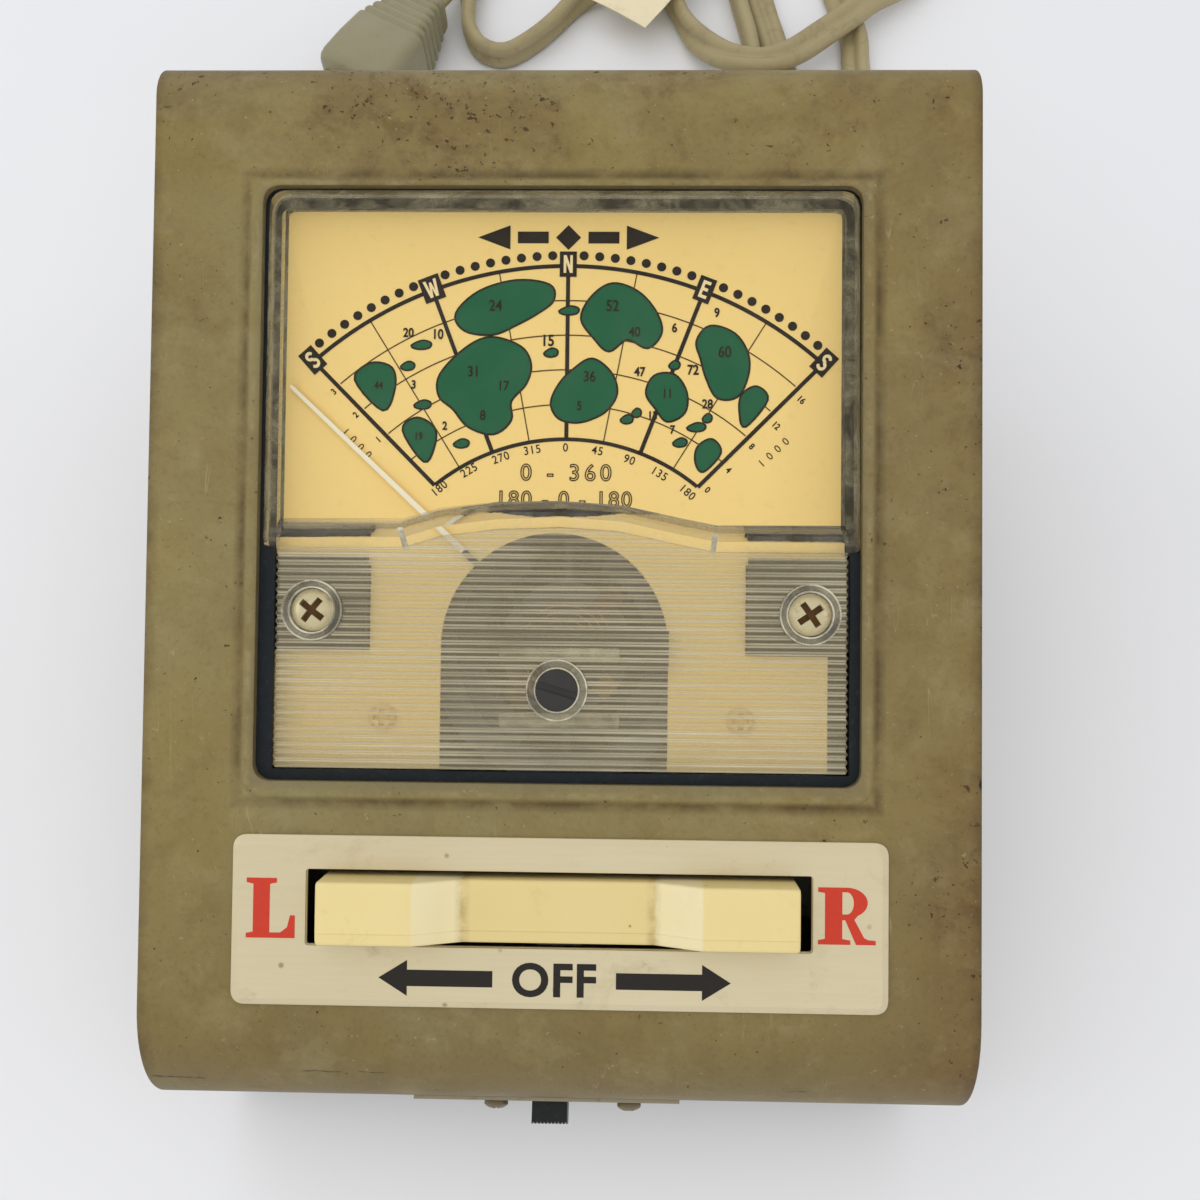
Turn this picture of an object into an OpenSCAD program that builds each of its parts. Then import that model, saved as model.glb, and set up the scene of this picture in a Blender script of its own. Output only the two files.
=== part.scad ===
// Desk controller for an antenna rotator: sloping sheet-metal case,
// direction meter under a clear cover, and a wide left/right rocker.
// Millimetres. +X is the user's right, +Y the rear, +Z up.

/* [Case] */
// Width of the case over the bent sheet
case_w = 110; // [104:1:120]
// Thickness of the case sheet
sheet_t = 1.0; // [0.8:0.1:1.2]
// Slope of the top panel in degrees
slope = 19; // [17:0.5:21]
// Height at which the front bend starts
front_h = 34; // [32:0.5:38]
// Length of the flat part of the sloping panel
panel_l = 121; // [119:0.5:126]
// Outside radius of the front bend
front_r = 15; // [13:0.5:17]
// Outside radius of the rear bend
rear_r = 5; // [4:0.5:6]
// Height of the rubber feet under the case
foot_h = 4; // [3:0.5:5]
// Diameter of the rubber feet
foot_d = 12; // [10:0.5:14]
// Depth of the folded flanges on the side panels
flange_w = 5; // [4:0.5:6]

/* [Meter] */
// Width of the meter window opening
win_w = 79.4; // [79:0.1:80]
// Height of the raised rim round the window opening
rim_h = 0.55; // [0.3:0.05:0.9]
// How far the clear window stands above the panel
win_rise = 5; // [3:0.5:6]
// Length of the needle from its pivot
needle_l = 51.2; // [40:0.1:52]
// Angle of the resting needle, left of straight up
needle_rest = 47; // [40:1:50]

/* [Rotation switch] */
// Length of the rocker
rocker_l = 61.5; // [58:0.5:62]
// Width of the rocker
rocker_w = 8.5; // [8:0.1:8.6]
// Height of the rocker's end pads above the panel
pad_h = 5.2; // [4:0.1:6]
// Distance from the rocker's pivot to each switch button
arm_l = 20; // [19:0.5:21]

/* [Power switch] */
// Travel of the slide knob
slide_travel = 3.4; // [3:0.1:3.6]
// Width of the slide knob
knob_w = 5; // [4.6:0.1:5.2]

/* [Cable] */
// Width of the flat two-core lead
cord_w = 6.2; // [5.6:0.1:6.4]
// Thickness of the flat two-core lead
cord_t = 3.1; // [2.8:0.1:3.2]

/* [Hidden] */
$fn = 48;
eps = 0.01;

// Side profile: centres of the two bends and the ends of the sloping flat
c1 = [front_r, front_h];
p1 = c1 + front_r * [-sin(slope), cos(slope)];
p2 = p1 + panel_l * [cos(slope), sin(slope)];
c2 = p2 + rear_r * [sin(slope), -cos(slope)];
rear_y = c2[0] + rear_r;
// Rearmost face of the terminal block, foremost face of the slide knob
block_d = 11.8;
back_y = rear_y + block_d;
knob_y = -3.5;
shift_y = -(back_y + knob_y) / 2;

// Everything is drawn with y = 0 at the front face and moved at the end,
// so that the origin is the middle of the footprint.
module placed() translate([0, shift_y, 0]) children();
// Panel frame: x across, y up the slope, z out of the panel
module panel() placed() translate([0, p1[0], p1[1]]) rotate([slope, 0, 0]) children();
module span_x(x0, x1) translate([x0, 0, 0]) rotate([90, 0, 90])
  linear_extrude(x1 - x0) children();
module box(x0, x1, y0, y1, z0, z1) translate([x0, y0, z0])
  cube([x1 - x0, y1 - y0, z1 - z0]);
module rrect(w, h, r) {
  square([w - 2 * r, h], center = true);
  square([w, h - 2 * r], center = true);
  for (i = [-1, 1], j = [-1, 1]) translate([i * (w / 2 - r), j * (h / 2 - r)]) circle(r);
}
module cyl(x, y, z0, z1, r) translate([x, y, z0]) cylinder(r = r, h = z1 - z0);
// Cylinder along y from y0 to y1
module cyl_y(x, z, y0, y1, r) translate([x, y0, z]) rotate([-90, 0, 0]) cylinder(r = r, h = y1 - y0);
module cyl_x(y, z, x0, x1, r) translate([x0, y, z]) rotate([0, 90, 0]) cylinder(r = r, h = x1 - x0);
// Closed side outline, inset by t, from the height z0 up. The bends stand a
// few microns proud of the flats, so that they cross them cleanly.
bend_e = 0.005;
module profile(t, z0) {
  polygon([[t, z0], [t, c1[1]], c1, c1 + (front_r - t) * [-sin(slope), cos(slope)],
    c2 + (rear_r - t) * [-sin(slope), cos(slope)], c2, [rear_y - t, c2[1]], [rear_y - t, z0]]);
  translate(c1) circle(front_r - t + bend_e);
  translate(c2) circle(rear_r - t + bend_e);
}
// Flat-head cross slot for screws
module cross_slot(r, d) for (a = [0, 90]) rotate([0, 0, a])
  translate([-r, -0.35, -d]) cube([2 * r, 0.7, d + 1]);
// Pan-head screw pointing down -z with its head seat at z = 0
module pan_screw(rh, hh, rs, ls) {
  difference() {
    union() {
      cylinder(r = rh, h = hh * 0.55);
      translate([0, 0, hh * 0.55 - eps]) cylinder(r1 = rh, r2 = rh * 0.72, h = hh * 0.45 + eps, $fn = 24);
    }
    translate([0, 0, hh]) cross_slot(rh * 0.62, hh * 0.6);
  }
  translate([0, 0, -ls]) cylinder(r = rs, h = ls + eps);
}

// ------------------------------------------------------------ case
foot_pts = [[-40, 16], [40, 16], [-40, 122], [40, 122]];
base_pts = [[-51.2, 24], [51.2, 24], [-51.2, 106], [51.2, 106]];
half_w = case_w / 2;
side_x = half_w - 1.2;
win_c = [-0.4, 69.2];
win_hh = 78.8;
slot_u0 = -33; slot_u1 = 33.4; slot_v0 = 8.4; slot_v1 = 18.7;
sw_x = 0.15; sw_z = 25.5; knob_x = -1.55;

module wrap_cover() color([0.47, 0.42, 0.31]) {
  difference() {
    placed() span_x(-half_w, half_w) difference() {
      profile(0, foot_h);
      profile(sheet_t, foot_h - 1);
    }
    panel() translate([win_c[0], win_c[1], -4]) linear_extrude(8) rrect(win_w, win_hh, 2.5);
    panel() box(slot_u0, slot_u1, slot_v0, slot_v1, -4, 4);
    // slide switch window and its two screw holes
    placed() box(knob_x - knob_w / 2 - 0.3, knob_x + knob_w / 2 + slide_travel + 0.3, -3, 3, sw_z - 2.8, sw_z + 2.8);
    placed() for (s = [-1, 1]) cyl_y(sw_x + s * 9.5, sw_z, -3, 3, 1.1);
    // rear: cable bush, adjuster bush and terminal block mounting
    placed() cyl_y(42, 24, rear_y - 3, rear_y + 3, 4.1);
    placed() cyl_y(24, 58, rear_y - 3, rear_y + 3, 3.1);
    placed() box(-39.5, 2.5, rear_y - 3, rear_y + 3, 27, 33);
    placed() for (x = [-44, 7]) cyl_y(x, 30, rear_y - 3, rear_y + 3, 1.6);
  }
  panel() translate([win_c[0], win_c[1] - 0.7, -eps]) linear_extrude(rim_h + eps) difference() {
    rrect(83, 82.3, 3.5);
    translate([0, 0.7]) rrect(win_w, win_hh, 2.5);
  }
}
module side_shape(s) {
  mirror([s < 0 ? 1 : 0, 0, 0]) placed() {
    span_x(side_x - 1, side_x) profile(sheet_t + 0.05, foot_h);
    span_x(side_x - 1 - flange_w, side_x - 1 + eps) difference() {
      profile(sheet_t + 0.05, foot_h + 1.3);
      profile(sheet_t + 1.05, foot_h + 2.3);
    }
  }
}
module side_panel_left() color([0.45, 0.40, 0.30]) difference() {
  side_shape(-1);
  placed() for (p = base_pts) cyl(p[0], p[1], 0, 8, 1.25);
}
module side_panel_right() color([0.45, 0.40, 0.30]) difference() {
  side_shape(1);
  placed() for (p = base_pts) cyl(p[0], p[1], 0, 8, 1.25);
}
module base_plate() color([0.62, 0.61, 0.57]) placed() difference() {
  box(-side_x + 1.1, side_x - 1.1, sheet_t + 0.1, rear_y - sheet_t - 0.1, foot_h, foot_h + 1.2);
  for (p = base_pts) cyl(p[0], p[1], 0, 8, 1.6);
  for (p = foot_pts) cyl(p[0], p[1], 0, 8, 1.25);
  for (p = [[-15, 110], [39, 110], [-27, 50], [27, 50], [-27, 74], [27, 74]])
    cyl(p[0], p[1], 0, 8, 1.25);
  for (i = [-3:3], y = [28, 88]) box(i * 8 - 1.25, i * 8 + 1.25, y, y + 16, 0, 8);
}
module base_screws() color([0.75, 0.74, 0.70]) placed() for (p = base_pts)
  translate([p[0], p[1], foot_h]) mirror([0, 0, 1]) pan_screw(1.9, 1.5, 1.2, 3.4);
module rubber_feet() color([0.10, 0.10, 0.10]) placed() for (p = foot_pts) translate([p[0], p[1], 0])
  difference() {
    cylinder(r1 = foot_d / 2 - 0.8, r2 = foot_d / 2, h = foot_h);
    translate([0, 0, -1]) cylinder(r = 3.3, h = 3);
    translate([0, 0, -1]) cylinder(r = 1.65, h = foot_h + 2);
  }
module feet_screws() color([0.75, 0.74, 0.70]) placed() for (p = foot_pts)
  translate([p[0], p[1], 2]) mirror([0, 0, 1]) pan_screw(2.7, 1.4, 1.2, foot_h + 0.8);

// ------------------------------------------------------------ power switch
module power_plate() color([0.72, 0.70, 0.64]) placed() difference() {
  box(-20.2, 16.6, -0.5, 0, sw_z - 7, sw_z + 7);
  box(knob_x - knob_w / 2 - 0.3, knob_x + knob_w / 2 + slide_travel + 0.3, -3, 3, sw_z - 2.8, sw_z + 2.8);
  for (s = [-1, 1]) cyl_y(sw_x + s * 9.5, sw_z, -3, 3, 1.15);
}
module power_switch_frame() color([0.70, 0.70, 0.66]) placed() difference() {
  union() {
    box(sw_x - 11.5, sw_x + 11.5, 1.0, 1.5, sw_z - 4, sw_z + 4);
    for (s = [-1, 1]) box(sw_x - 7, sw_x + 7, 1.4, 8.2, sw_z + s * 3.75 - 0.25, sw_z + s * 3.75 + 0.25);
  }
  box(knob_x - knob_w / 2 - 0.3, knob_x + knob_w / 2 + slide_travel + 0.3, 0, 3, sw_z - 2.8, sw_z + 2.8);
  for (s = [-1, 1]) cyl_y(sw_x + s * 9.5, sw_z, 0, 3, 0.85);
}
module power_switch_body() color([0.35, 0.20, 0.10]) placed() {
  box(sw_x - 7, sw_x + 7, 4.8, 8.6, sw_z - 3.48, sw_z + 3.48);
  for (i = [-1:1], j = [-1, 1]) box(sw_x + i * 4.5 - 0.8, sw_x + i * 4.5 + 0.8, 8.5, 12, sw_z + j * 1.8 - 0.2, sw_z + j * 1.8 + 0.2);
}
module power_switch_knob() color([0.06, 0.09, 0.07]) placed() translate([knob_x, 0, sw_z]) {
  difference() {
    box(-knob_w / 2, knob_w / 2, knob_y, 3, -2.5, 2.5);
    for (i = [-2:2]) translate([i, knob_y - 0.3, -3]) rotate([0, 0, 45]) cube([0.42, 0.42, 6]);
  }
  box(-4.2, 4.2, 2.9, 4.6, -3.2, 3.2);
}
module power_switch_screws() color([0.55, 0.45, 0.32]) placed() for (s = [-1, 1])
  translate([sw_x + s * 9.5, -0.5, sw_z]) rotate([90, 0, 0]) pan_screw(1.7, 1.2, 0.8, 3.5);

// ------------------------------------------------------------ rotation switch
rk_u = 0.27; rk_v = 13.55; rk_n = -6;
module label_plate() color([0.72, 0.70, 0.65]) panel() translate([0, 0, 0]) difference() {
  translate([0.22, 11.8, 0]) linear_extrude(0.8) rrect(85.3, 22, 1.8);
  box(-32.6, 33, 8.7, 18.4, -1, 3);
}
// Shape of the rocker along its length, inset by t
module rocker_shape(t, n0) polygon([[-rocker_l / 2 + t, n0], [-rocker_l / 2 + t, pad_h - t],
  [-18.5 + t * 0.2, pad_h - t], [-12.4 + t * 0.2, 2 - t], [12.4 - t * 0.2, 2 - t], [18.5 - t * 0.2, pad_h - t],
  [rocker_l / 2 - t, pad_h - t], [rocker_l / 2 - t, n0]]);
module along_v(v0, v1) translate([0, v1, 0]) rotate([90, 0, 0]) linear_extrude(v1 - v0) children();
module rocker() color([0.87, 0.80, 0.60]) panel() translate([rk_u, rk_v, 0]) difference() {
  union() {
    difference() {
      along_v(-rocker_w / 2, rocker_w / 2) rocker_shape(0, -3.5);
      along_v(-rocker_w / 2 + 1.4, rocker_w / 2 - 1.4) rocker_shape(1.5, -4);
    }
    box(-3.4, 3.4, -rocker_w / 2, rocker_w / 2, rk_n, 1);
    cyl_y(0, rk_n, -rocker_w / 2, rocker_w / 2, 3.4);
    for (s = [-1, 1]) {
      box(s * arm_l - 1.5, s * arm_l + 1.5, -2, 2, -5.5, 4);
      cyl_y(s * arm_l, -5.5, -2, 2, 1.5);
    }
  }
  cyl_y(0, rk_n, -6, 6, 1.06);
}
module rocker_pin() color([0.75, 0.74, 0.70]) panel() cyl_y(rk_u, rk_n, rk_v - 5.5, rk_v + 5.5, 1.0);
module rocker_bracket() color([0.66, 0.65, 0.60]) panel() translate([rk_u, rk_v, 0]) difference() {
  union() {
    for (s = [-1, 1]) {
      box(-31.5, 31.5, min(s * 4.45, s * 5.05), max(s * 4.45, s * 5.05), -22, -10);
      box(-2.9, 2.9, min(s * 4.45, s * 5.05), max(s * 4.45, s * 5.05), -10.1, -1.8);
      box(s * 36.5 - 0.3, s * 36.5 + 0.3, -5.05, 5.05, -22.6, -1.0);
      box(min(s * 36.2, s * 42), max(s * 36.2, s * 42), -5.05, 5.05, -1.6, -1.0);
      box(min(s * 31, s * 36.5), max(s * 31, s * 36.5), -5.05, 5.05, -22.6, -22);
    }
    box(-4, 4, -5.05, 5.05, -22.6, -22);
    for (s = [-1, 1]) box(-31.5, 31.5, min(s * 4.45, s * 5.05), max(s * 4.45, s * 5.05), -22.6, -21.9);
  }
  cyl_y(0, rk_n, -8, 8, 1.03);
}
module microswitches() color([0.12, 0.12, 0.13]) panel() for (s = [-1, 1])
  translate([rk_u + s * arm_l, rk_v, 0]) {
    difference() {
      box(-9.9, 9.9, -4.2, 4.2, -20.2, -9.2);
      cyl(0, 0, -19, -8, 1.5);
      for (i = [-1, 1]) cyl_y(i * 7.5, -17.6, -6, 6, 0.8);
    }
    for (i = [-1:1]) box(i * 7 - 1.2, i * 7 + 1.2, -0.25, 0.25, -25, -20.1);
  }
module plunger(s) panel() cyl(rk_u + s * arm_l, rk_v, -15, -7.15, 1.42);
module left_plunger() color([0.75, 0.20, 0.15]) plunger(-1);
module right_plunger() color([0.75, 0.20, 0.15]) plunger(1);

// ------------------------------------------------------------ meter
pv = [0.3, 47.7];          // needle pivot on the panel
za = [-0.3, 42.06];        // zero adjuster on the panel
scr = [[-32.6, 52.2], [32.6, 52.2]];
mb_x0 = -41.2; mb_x1 = 40.8; mb_v0 = 28.6; mb_v1 = 110.2;
ear_pts = [[-44.3, 36], [44.3, 36], [-44.3, 102], [44.3, 102]];
module meter_gasket() color([0.05, 0.06, 0.09]) panel() translate([0, 0, -1.8]) linear_extrude(0.75) difference() {
  translate([win_c[0], 69.3]) rrect(83.5, 82.6, 3);
  translate([0, 47]) square([76, 31.6], center = true);
  translate([0, 84.2]) square([78.9, 47.6], center = true);
}
// Outline of the raised window with its stepped lower edge, inset by g
module window_outline(g) polygon([[-39 + g, 61 + g], [-20 + g / 2, 61 + g], [-15.5 + g / 2, 62.4 + g], [-8, 63.4 + g], [0, 63.8 + g],
  [8, 63.4 + g], [15.5 - g / 2, 62.4 + g], [20 - g / 2, 61 + g], [39 - g, 61 + g], [39 - g, 105],
  [36.3, 107.7 - g], [-36.3, 107.7 - g], [-39 + g, 105]]);
module window_block(g, z0, z1) translate([0, 0, z0]) linear_extrude(z1 - z0) window_outline(g);
module meter_cover() color([0.85, 0.85, 0.80, 0.4]) panel() difference() {
  union() {
    box(mb_x0, mb_x1, mb_v0, mb_v1, -2.8, -1.85);
    box(-37.8, 37.8, 31.4, 62.6, -1.9, 0.2);
    window_block(0, -1.9, 2.4);
    window_block(1.3, 2.3, win_rise);
    for (p = scr) cyl(p[0], p[1], -2.8, 0.9, 4.0);
    cyl(za[0], za[1], -1, 1.2, 4.0);
  }
  window_block(2.7, -3, win_rise - 1.5);
  difference() {
    box(-36.8, 36.8, 32.6, 63.5, -3, -1.3);
    for (p = scr) cyl(p[0], p[1], -4, 0, 4.6);
  }
  for (p = scr) {
    cyl(p[0], p[1], -4, 3, 1.65);
    cyl(p[0], p[1], -0.7, 3, 3.1);
  }
  cyl(za[0], za[1], -4, 3, 1.56);
  cyl(za[0], za[1], 0.19, 3, 2.95);
}
module meter_cover_screws() color([0.75, 0.72, 0.66]) panel() for (p = scr)
  translate([p[0], p[1], -0.7]) rotate([0, 0, p[0] < 0 ? 50 : 35]) pan_screw(2.75, 1.7, 1.2, 9);
module zero_adjuster() color([0.16, 0.14, 0.13]) panel() translate([za[0], za[1], 0]) {
  difference() {
    cyl(0, 0, 0.25, 1.5, 2.75);
    rotate([0, 0, -16]) box(-3, 3, -0.65, 0.65, 0.7, 2);
  }
  cyl(0, 0, -1.75, 0.3, 1.5);
  cyl(0, 0, -1.75, -1.35, 2.0);
  cyl(0, -1.0, -3.05, -1.7, 0.5);
}
module zero_lever() color([0.80, 0.66, 0.35]) panel() translate([pv[0], pv[1], 0]) {
  difference() {
    union() {
      cyl(0, 0, -3.0, -2.6, 2.4);
      rotate([0, 0, -5.2]) box(-1.4, 1.4, -9.2, 0, -3.0, -2.6);
      box(-7.9, 0, -0.8, 0.8, -3.0, -2.6);
    }
    cyl(0, 0, -4, -2, 1.15);
    rotate([0, 0, -5.2]) box(-0.58, 0.58, -9.3, -5.0, -4, -2);
  }
  box(-7.9, -7.4, -0.8, 0.8, -6.7, -2.9);
}
module meter_base() color([0.07, 0.07, 0.08]) panel() difference() {
  union() {
    difference() {
      box(mb_x0, mb_x1, mb_v0, mb_v1, -14, -2.8);
      box(mb_x0 + 1.6, mb_x1 - 1.6, mb_v0 + 1.6, mb_v1 - 1.6, -12.4, 0);
    }
    cyl(pv[0], pv[1], -32, -12.4, 23);
    for (p = scr) box(p[0] < 0 ? -39.7 : 24.9, p[0] < 0 ? -26.2 : 39.3, 47.3, 59.7, -12.5, -2.85);
    for (s = [-1, 1]) cyl(s * 24, 38, -12.5, -5.0, 2.5);
    for (s = [-1, 1]) cyl(s * 30, 100, -12.5, -5.0, 2.5);
    for (p = ear_pts) {
      cyl(p[0], p[1], -6.5, -4.5, 3.2);
      box(min(p[0], sign(p[0]) * 40), max(p[0], sign(p[0]) * 40), p[1] - 3.2, p[1] + 3.2, -6.5, -4.5);
    }
  }
  difference() {
    cyl(pv[0], pv[1], -30, -5, 21);
    cyl(pv[0], pv[1], -31, -23.2, 3);
    difference() {
      cyl(pv[0], pv[1], -31, -20, 22);
      cyl(pv[0], pv[1], -32, -19, 17);
    }
    for (p = scr) box(p[0] < 0 ? -39.7 : 24.9, p[0] < 0 ? -26.2 : 39.3, 47.3, 59.7, -12.5, -2.85);
  }
  cyl(pv[0], pv[1], -26, -22, 0.55);
  for (p = scr) cyl(p[0], p[1], -11, 0, 1.25);
  for (s = [-1, 1]) cyl(s * 24, 38, -11, 0, 0.85);
  for (p = ear_pts) cyl(p[0], p[1], -8, 0, 1.7);
  for (s = [-1, 1]) cyl(pv[0] + s * 12, pv[1], -40, -29, 2.05);
}
module meter_studs() color([0.70, 0.69, 0.64]) panel() for (p = ear_pts) cyl(p[0], p[1], -11, -sheet_t, 1.5);
module meter_nuts() color([0.72, 0.70, 0.64]) panel() for (p = ear_pts) translate([p[0], p[1], -8.9])
  difference() { cylinder(r = 3.1, h = 2.4, $fn = 6); translate([0, 0, -1]) cylinder(r = 1.52, h = 5); }
module dial_plate() color([0.86, 0.74, 0.45]) panel() translate([0, 0, -5.0]) linear_extrude(0.5) difference() {
  translate([0, 69.8]) rrect(77.2, 75.6, 1);
  translate([-1, pv[1]]) circle(15.3);
  translate([-16.3, 31]) square([30.6, 16.8]);
  translate([-40.2, 46.9]) square([14.3, 13.1]);
  translate([24.6, 46.7]) square([16, 13.3]);
  translate([35.6, 30]) square([6, 20]);
  for (s = [-1, 1]) translate([s * 24, 38]) circle(1.1);
}
module dial_screws() color([0.74, 0.72, 0.66]) panel() for (s = [-1, 1])
  translate([s * 24, 38, -4.5]) pan_screw(1.8, 0.9, 0.8, 5);
// The needle and the coil turn as one about the pivot
module turned() panel() translate([pv[0], pv[1], 0]) rotate([0, 0, needle_rest]) children();
module needle() color([0.92, 0.88, 0.78]) turned() {
  difference() {
    cyl(0, 0, -4.2, -3.3, 2.4);
    cyl(0, 0, -5, -3, 1.5);
  }
  translate([0, 0, -3.9]) linear_extrude(0.3) polygon([[-0.8, 2.2], [0.8, 2.2], [0.45, 12], [0.26, needle_l], [-0.26, needle_l], [-0.45, 12]]);
  translate([0, 0, -3.9]) linear_extrude(0.3) polygon([[-0.6, -2.2], [0.6, -2.2], [0.6, -9], [-0.6, -9]]);
  box(-1.5, 1.5, -9, -6.4, -4.3, -3.5);
}
module moving_coil() color([0.72, 0.36, 0.16]) turned() {
  difference() {
    box(-10.6, 10.6, -1.5, 1.5, -21.5, -7.5);
    box(-9.5, 9.5, -2, 2, -20.4, -8.6);
  }
  cyl(0, 0, -7.6, -3.3, 1.5);
  cyl(0, 0, -3.4, -2.2, 0.5);
  cyl(0, 0, -22.5, -21.4, 1.2);
  cyl(0, 0, -24.5, -22.4, 0.5);
}
function spiral(r0, r1, turns, w, k) = let (m = turns * 16) concat(
  [for (i = [0:m]) let (a = i * 22.5, r = r0 + (r1 - r0) * i / m + w / 2) r * [cos(a * k), sin(a * k)]],
  [for (i = [m:-1:0]) let (a = i * 22.5, r = r0 + (r1 - r0) * i / m - w / 2) r * [cos(a * k), sin(a * k)]]);
module hairsprings() color([0.80, 0.66, 0.35]) turned() {
  translate([0, 0, -6.8]) linear_extrude(0.3) difference() { polygon(spiral(1.7, 6.6, 5, 0.25, 1)); circle(1.5); }
  translate([0, 0, -22.2]) linear_extrude(0.3) difference() { polygon(spiral(1.4, 6.6, 5, 0.25, 1)); circle(1.2); }
}
module pole_core() color([0.60, 0.60, 0.60]) panel() translate([pv[0], pv[1], 0]) {
  cyl(0, 0, -20, -9, 9);
  cyl_y(0, -14.5, 8.5, 14.95, 1);
  cyl_y(0, -14.5, -14.95, -8.5, 1);
}
module magnet_poles() color([0.30, 0.30, 0.33]) panel() translate([pv[0], pv[1], 0]) difference() {
  cyl(0, 0, -20, -9, 14.95);
  cyl(0, 0, -21, -8, 11.3);
  for (s = [-1, 1]) linear_extrude(60, center = true) polygon([[0, 0], [-9, s * 20], [9, s * 20]]);
}
module yoke_ring() color([0.45, 0.45, 0.48]) panel() difference() {
  cyl(pv[0], pv[1], -20, -9, 19);
  cyl(pv[0], pv[1], -21, -8, 15);
}
module top_bridge() color([0.78, 0.76, 0.70]) panel() translate([pv[0], pv[1], 0]) difference() {
  union() {
    box(-14, 14, -2.4, 2.4, -2.5, -1.7);
    cyl(0, 0, -3.1, -1.7, 1.1);
    for (s = [-1, 1]) cyl(s * 12.7, 0, -9, -2.4, 1.2);
  }
  cyl(0, 0, -4, -1, 0.55);
}
module meter_terminals() color([0.80, 0.66, 0.35]) panel() for (s = [-1, 1]) translate([pv[0] + s * 12, pv[1], 0]) {
  cyl(0, 0, -40, -29.5, 2.0);
  translate([0, 0, -34.6]) cylinder(r = 3.9, h = 2.55, $fn = 6);
  cyl(0, 0, -30, -29.2, 3.2);
}

// ------------------------------------------------------------ power supply
tx = 12; ty = 110; tz0 = 7;
module transformer_core() color([0.30, 0.31, 0.33]) placed() translate([tx, ty, tz0]) difference() {
  box(-22, 22, -10, 10, 0, 38);
  for (s = [-1, 1]) translate([s * 11.2, 0, 19]) cube([8.4, 30, 26.4], center = true);
}
module transformer_winding() color([0.80, 0.66, 0.30]) placed() translate([tx, ty, tz0 + 19]) difference() {
  cube([30, 33, 26], center = true);
  cube([14.1, 20.2, 30], center = true);
}
module transformer_frame() color([0.62, 0.62, 0.60]) placed() translate([tx, ty, 0]) difference() {
  union() {
    box(-23.1, 23.1, -7, 7, 45.1, 46.1);
    for (s = [-1, 1]) {
      box(min(s * 22.1, s * 23.1), max(s * 22.1, s * 23.1), -7, 7, foot_h + 1.2, 46.1);
      box(min(s * 22.1, s * 30.5), max(s * 22.1, s * 30.5), -7, 7, foot_h + 1.2, foot_h + 2.2);
    }
    box(-22.2, 22.2, -9.9, 9.9, foot_h + 1.2, tz0);
  }
  for (s = [-1, 1]) cyl(s * 27, 0, 0, 20, 1.6);
}
module transformer_screws() color([0.75, 0.74, 0.70]) placed() for (s = [-1, 1])
  translate([tx + s * 27, ty, foot_h + 2.2]) pan_screw(2.6, 1.8, 1.2, 3.0);
module motor_capacitor() color([0.62, 0.64, 0.66]) placed() {
  cyl_y(-36, 20.4, 79, 126, 13.5);
  for (s = [-1, 1]) box(-36 + s * 5 - 1.5, -36 + s * 5 + 1.5, 75, 79.1, 20, 20.6);
}
module capacitor_clamp() color([0.70, 0.70, 0.66]) placed() translate([-36, 96, 20.4]) {
  rotate([-90, 0, 0]) difference() {
    cylinder(r = 14.6, h = 8);
    translate([0, 0, -1]) cylinder(r = 13.55, h = 10);
  }
  box(-6, 6, 0, 8, -15.2, -14.2);
}
module circuit_board() color([0.20, 0.32, 0.16]) placed() difference() {
  box(-31, 31, 46, 78, 12, 13.6);
  for (x = [-27, 27], y = [50, 74]) cyl(x, y, 10, 16, 1.6);
  for (x = [14:2:20]) cyl(x, 67.75, 10, 16, 0.4);
  for (x = [-17, 9]) cyl(x, 62, 10, 16, 0.4);
}
module board_spacers() color([0.78, 0.78, 0.74]) placed() for (x = [-27, 27], y = [50, 74]) {
  cyl(x, y, foot_h + 1.2, 12, 3);
  cyl(x, y, foot_h + 0.1, 14, 1.2);
  cyl(x, y, 13.6, 15, 2.6);
}
module filter_capacitor() color([0.10, 0.22, 0.45]) placed() {
  cyl_x(62, 18.8, -14, 6, 5);
  for (x = [-17, 9]) { cyl(x, 62, 11, 19.3, 0.35); cyl_x(62, 18.8, min(x, x < 0 ? -14 : 6) - 0.3, max(x, x < 0 ? -14 : 6) + 0.3, 0.3); }
}
module rectifier() color([0.08, 0.08, 0.09]) placed() {
  box(13, 21, 66, 69.5, 15.5, 23.5);
  for (i = [0:3]) cyl(14 + i * 2, 67.75, 11, 15.6, 0.35);
}
module fuse() color([0.80, 0.83, 0.82]) placed() {
  cyl_x(52, 18.2, -9.5, 9.5, 2.4);
  for (s = [-1, 1]) cyl_x(52, 18.2, min(s * 5.5, s * 10), max(s * 5.5, s * 10), 2.6);
}
module fuse_clips() color([0.78, 0.70, 0.48]) placed() for (s = [-1, 1]) translate([s * 7.8, 52, 0]) difference() {
  box(-2, 2, -3.3, 3.3, 13.6, 19.5);
  cyl_x(0, 18.2, -3, 3, 2.62);
  box(-3, 3, -2.2, 2.2, 14.2, 25);
}
module trimmer_body() color([0.20, 0.20, 0.21]) placed() difference() {
  union() {
    cyl_y(24, 58, 120.5, rear_y - sheet_t - 0.02, 8);
    cyl_y(24, 58, 125, rear_y + 2.4, 3.0);
    translate([24, rear_y + 0.02, 58]) rotate([-90, 0, 0]) cylinder(r = 5, h = 1.8, $fn = 6);
    for (i = [-1:1]) box(24 + i * 4 - 0.7, 24 + i * 4 + 0.7, 123, 123.5, 46, 51);
  }
  cyl_y(24, 58, 121.9, rear_y + 5, 1.55);
  cyl_y(24, 58, 121.9, 125, 6);
}
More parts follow.
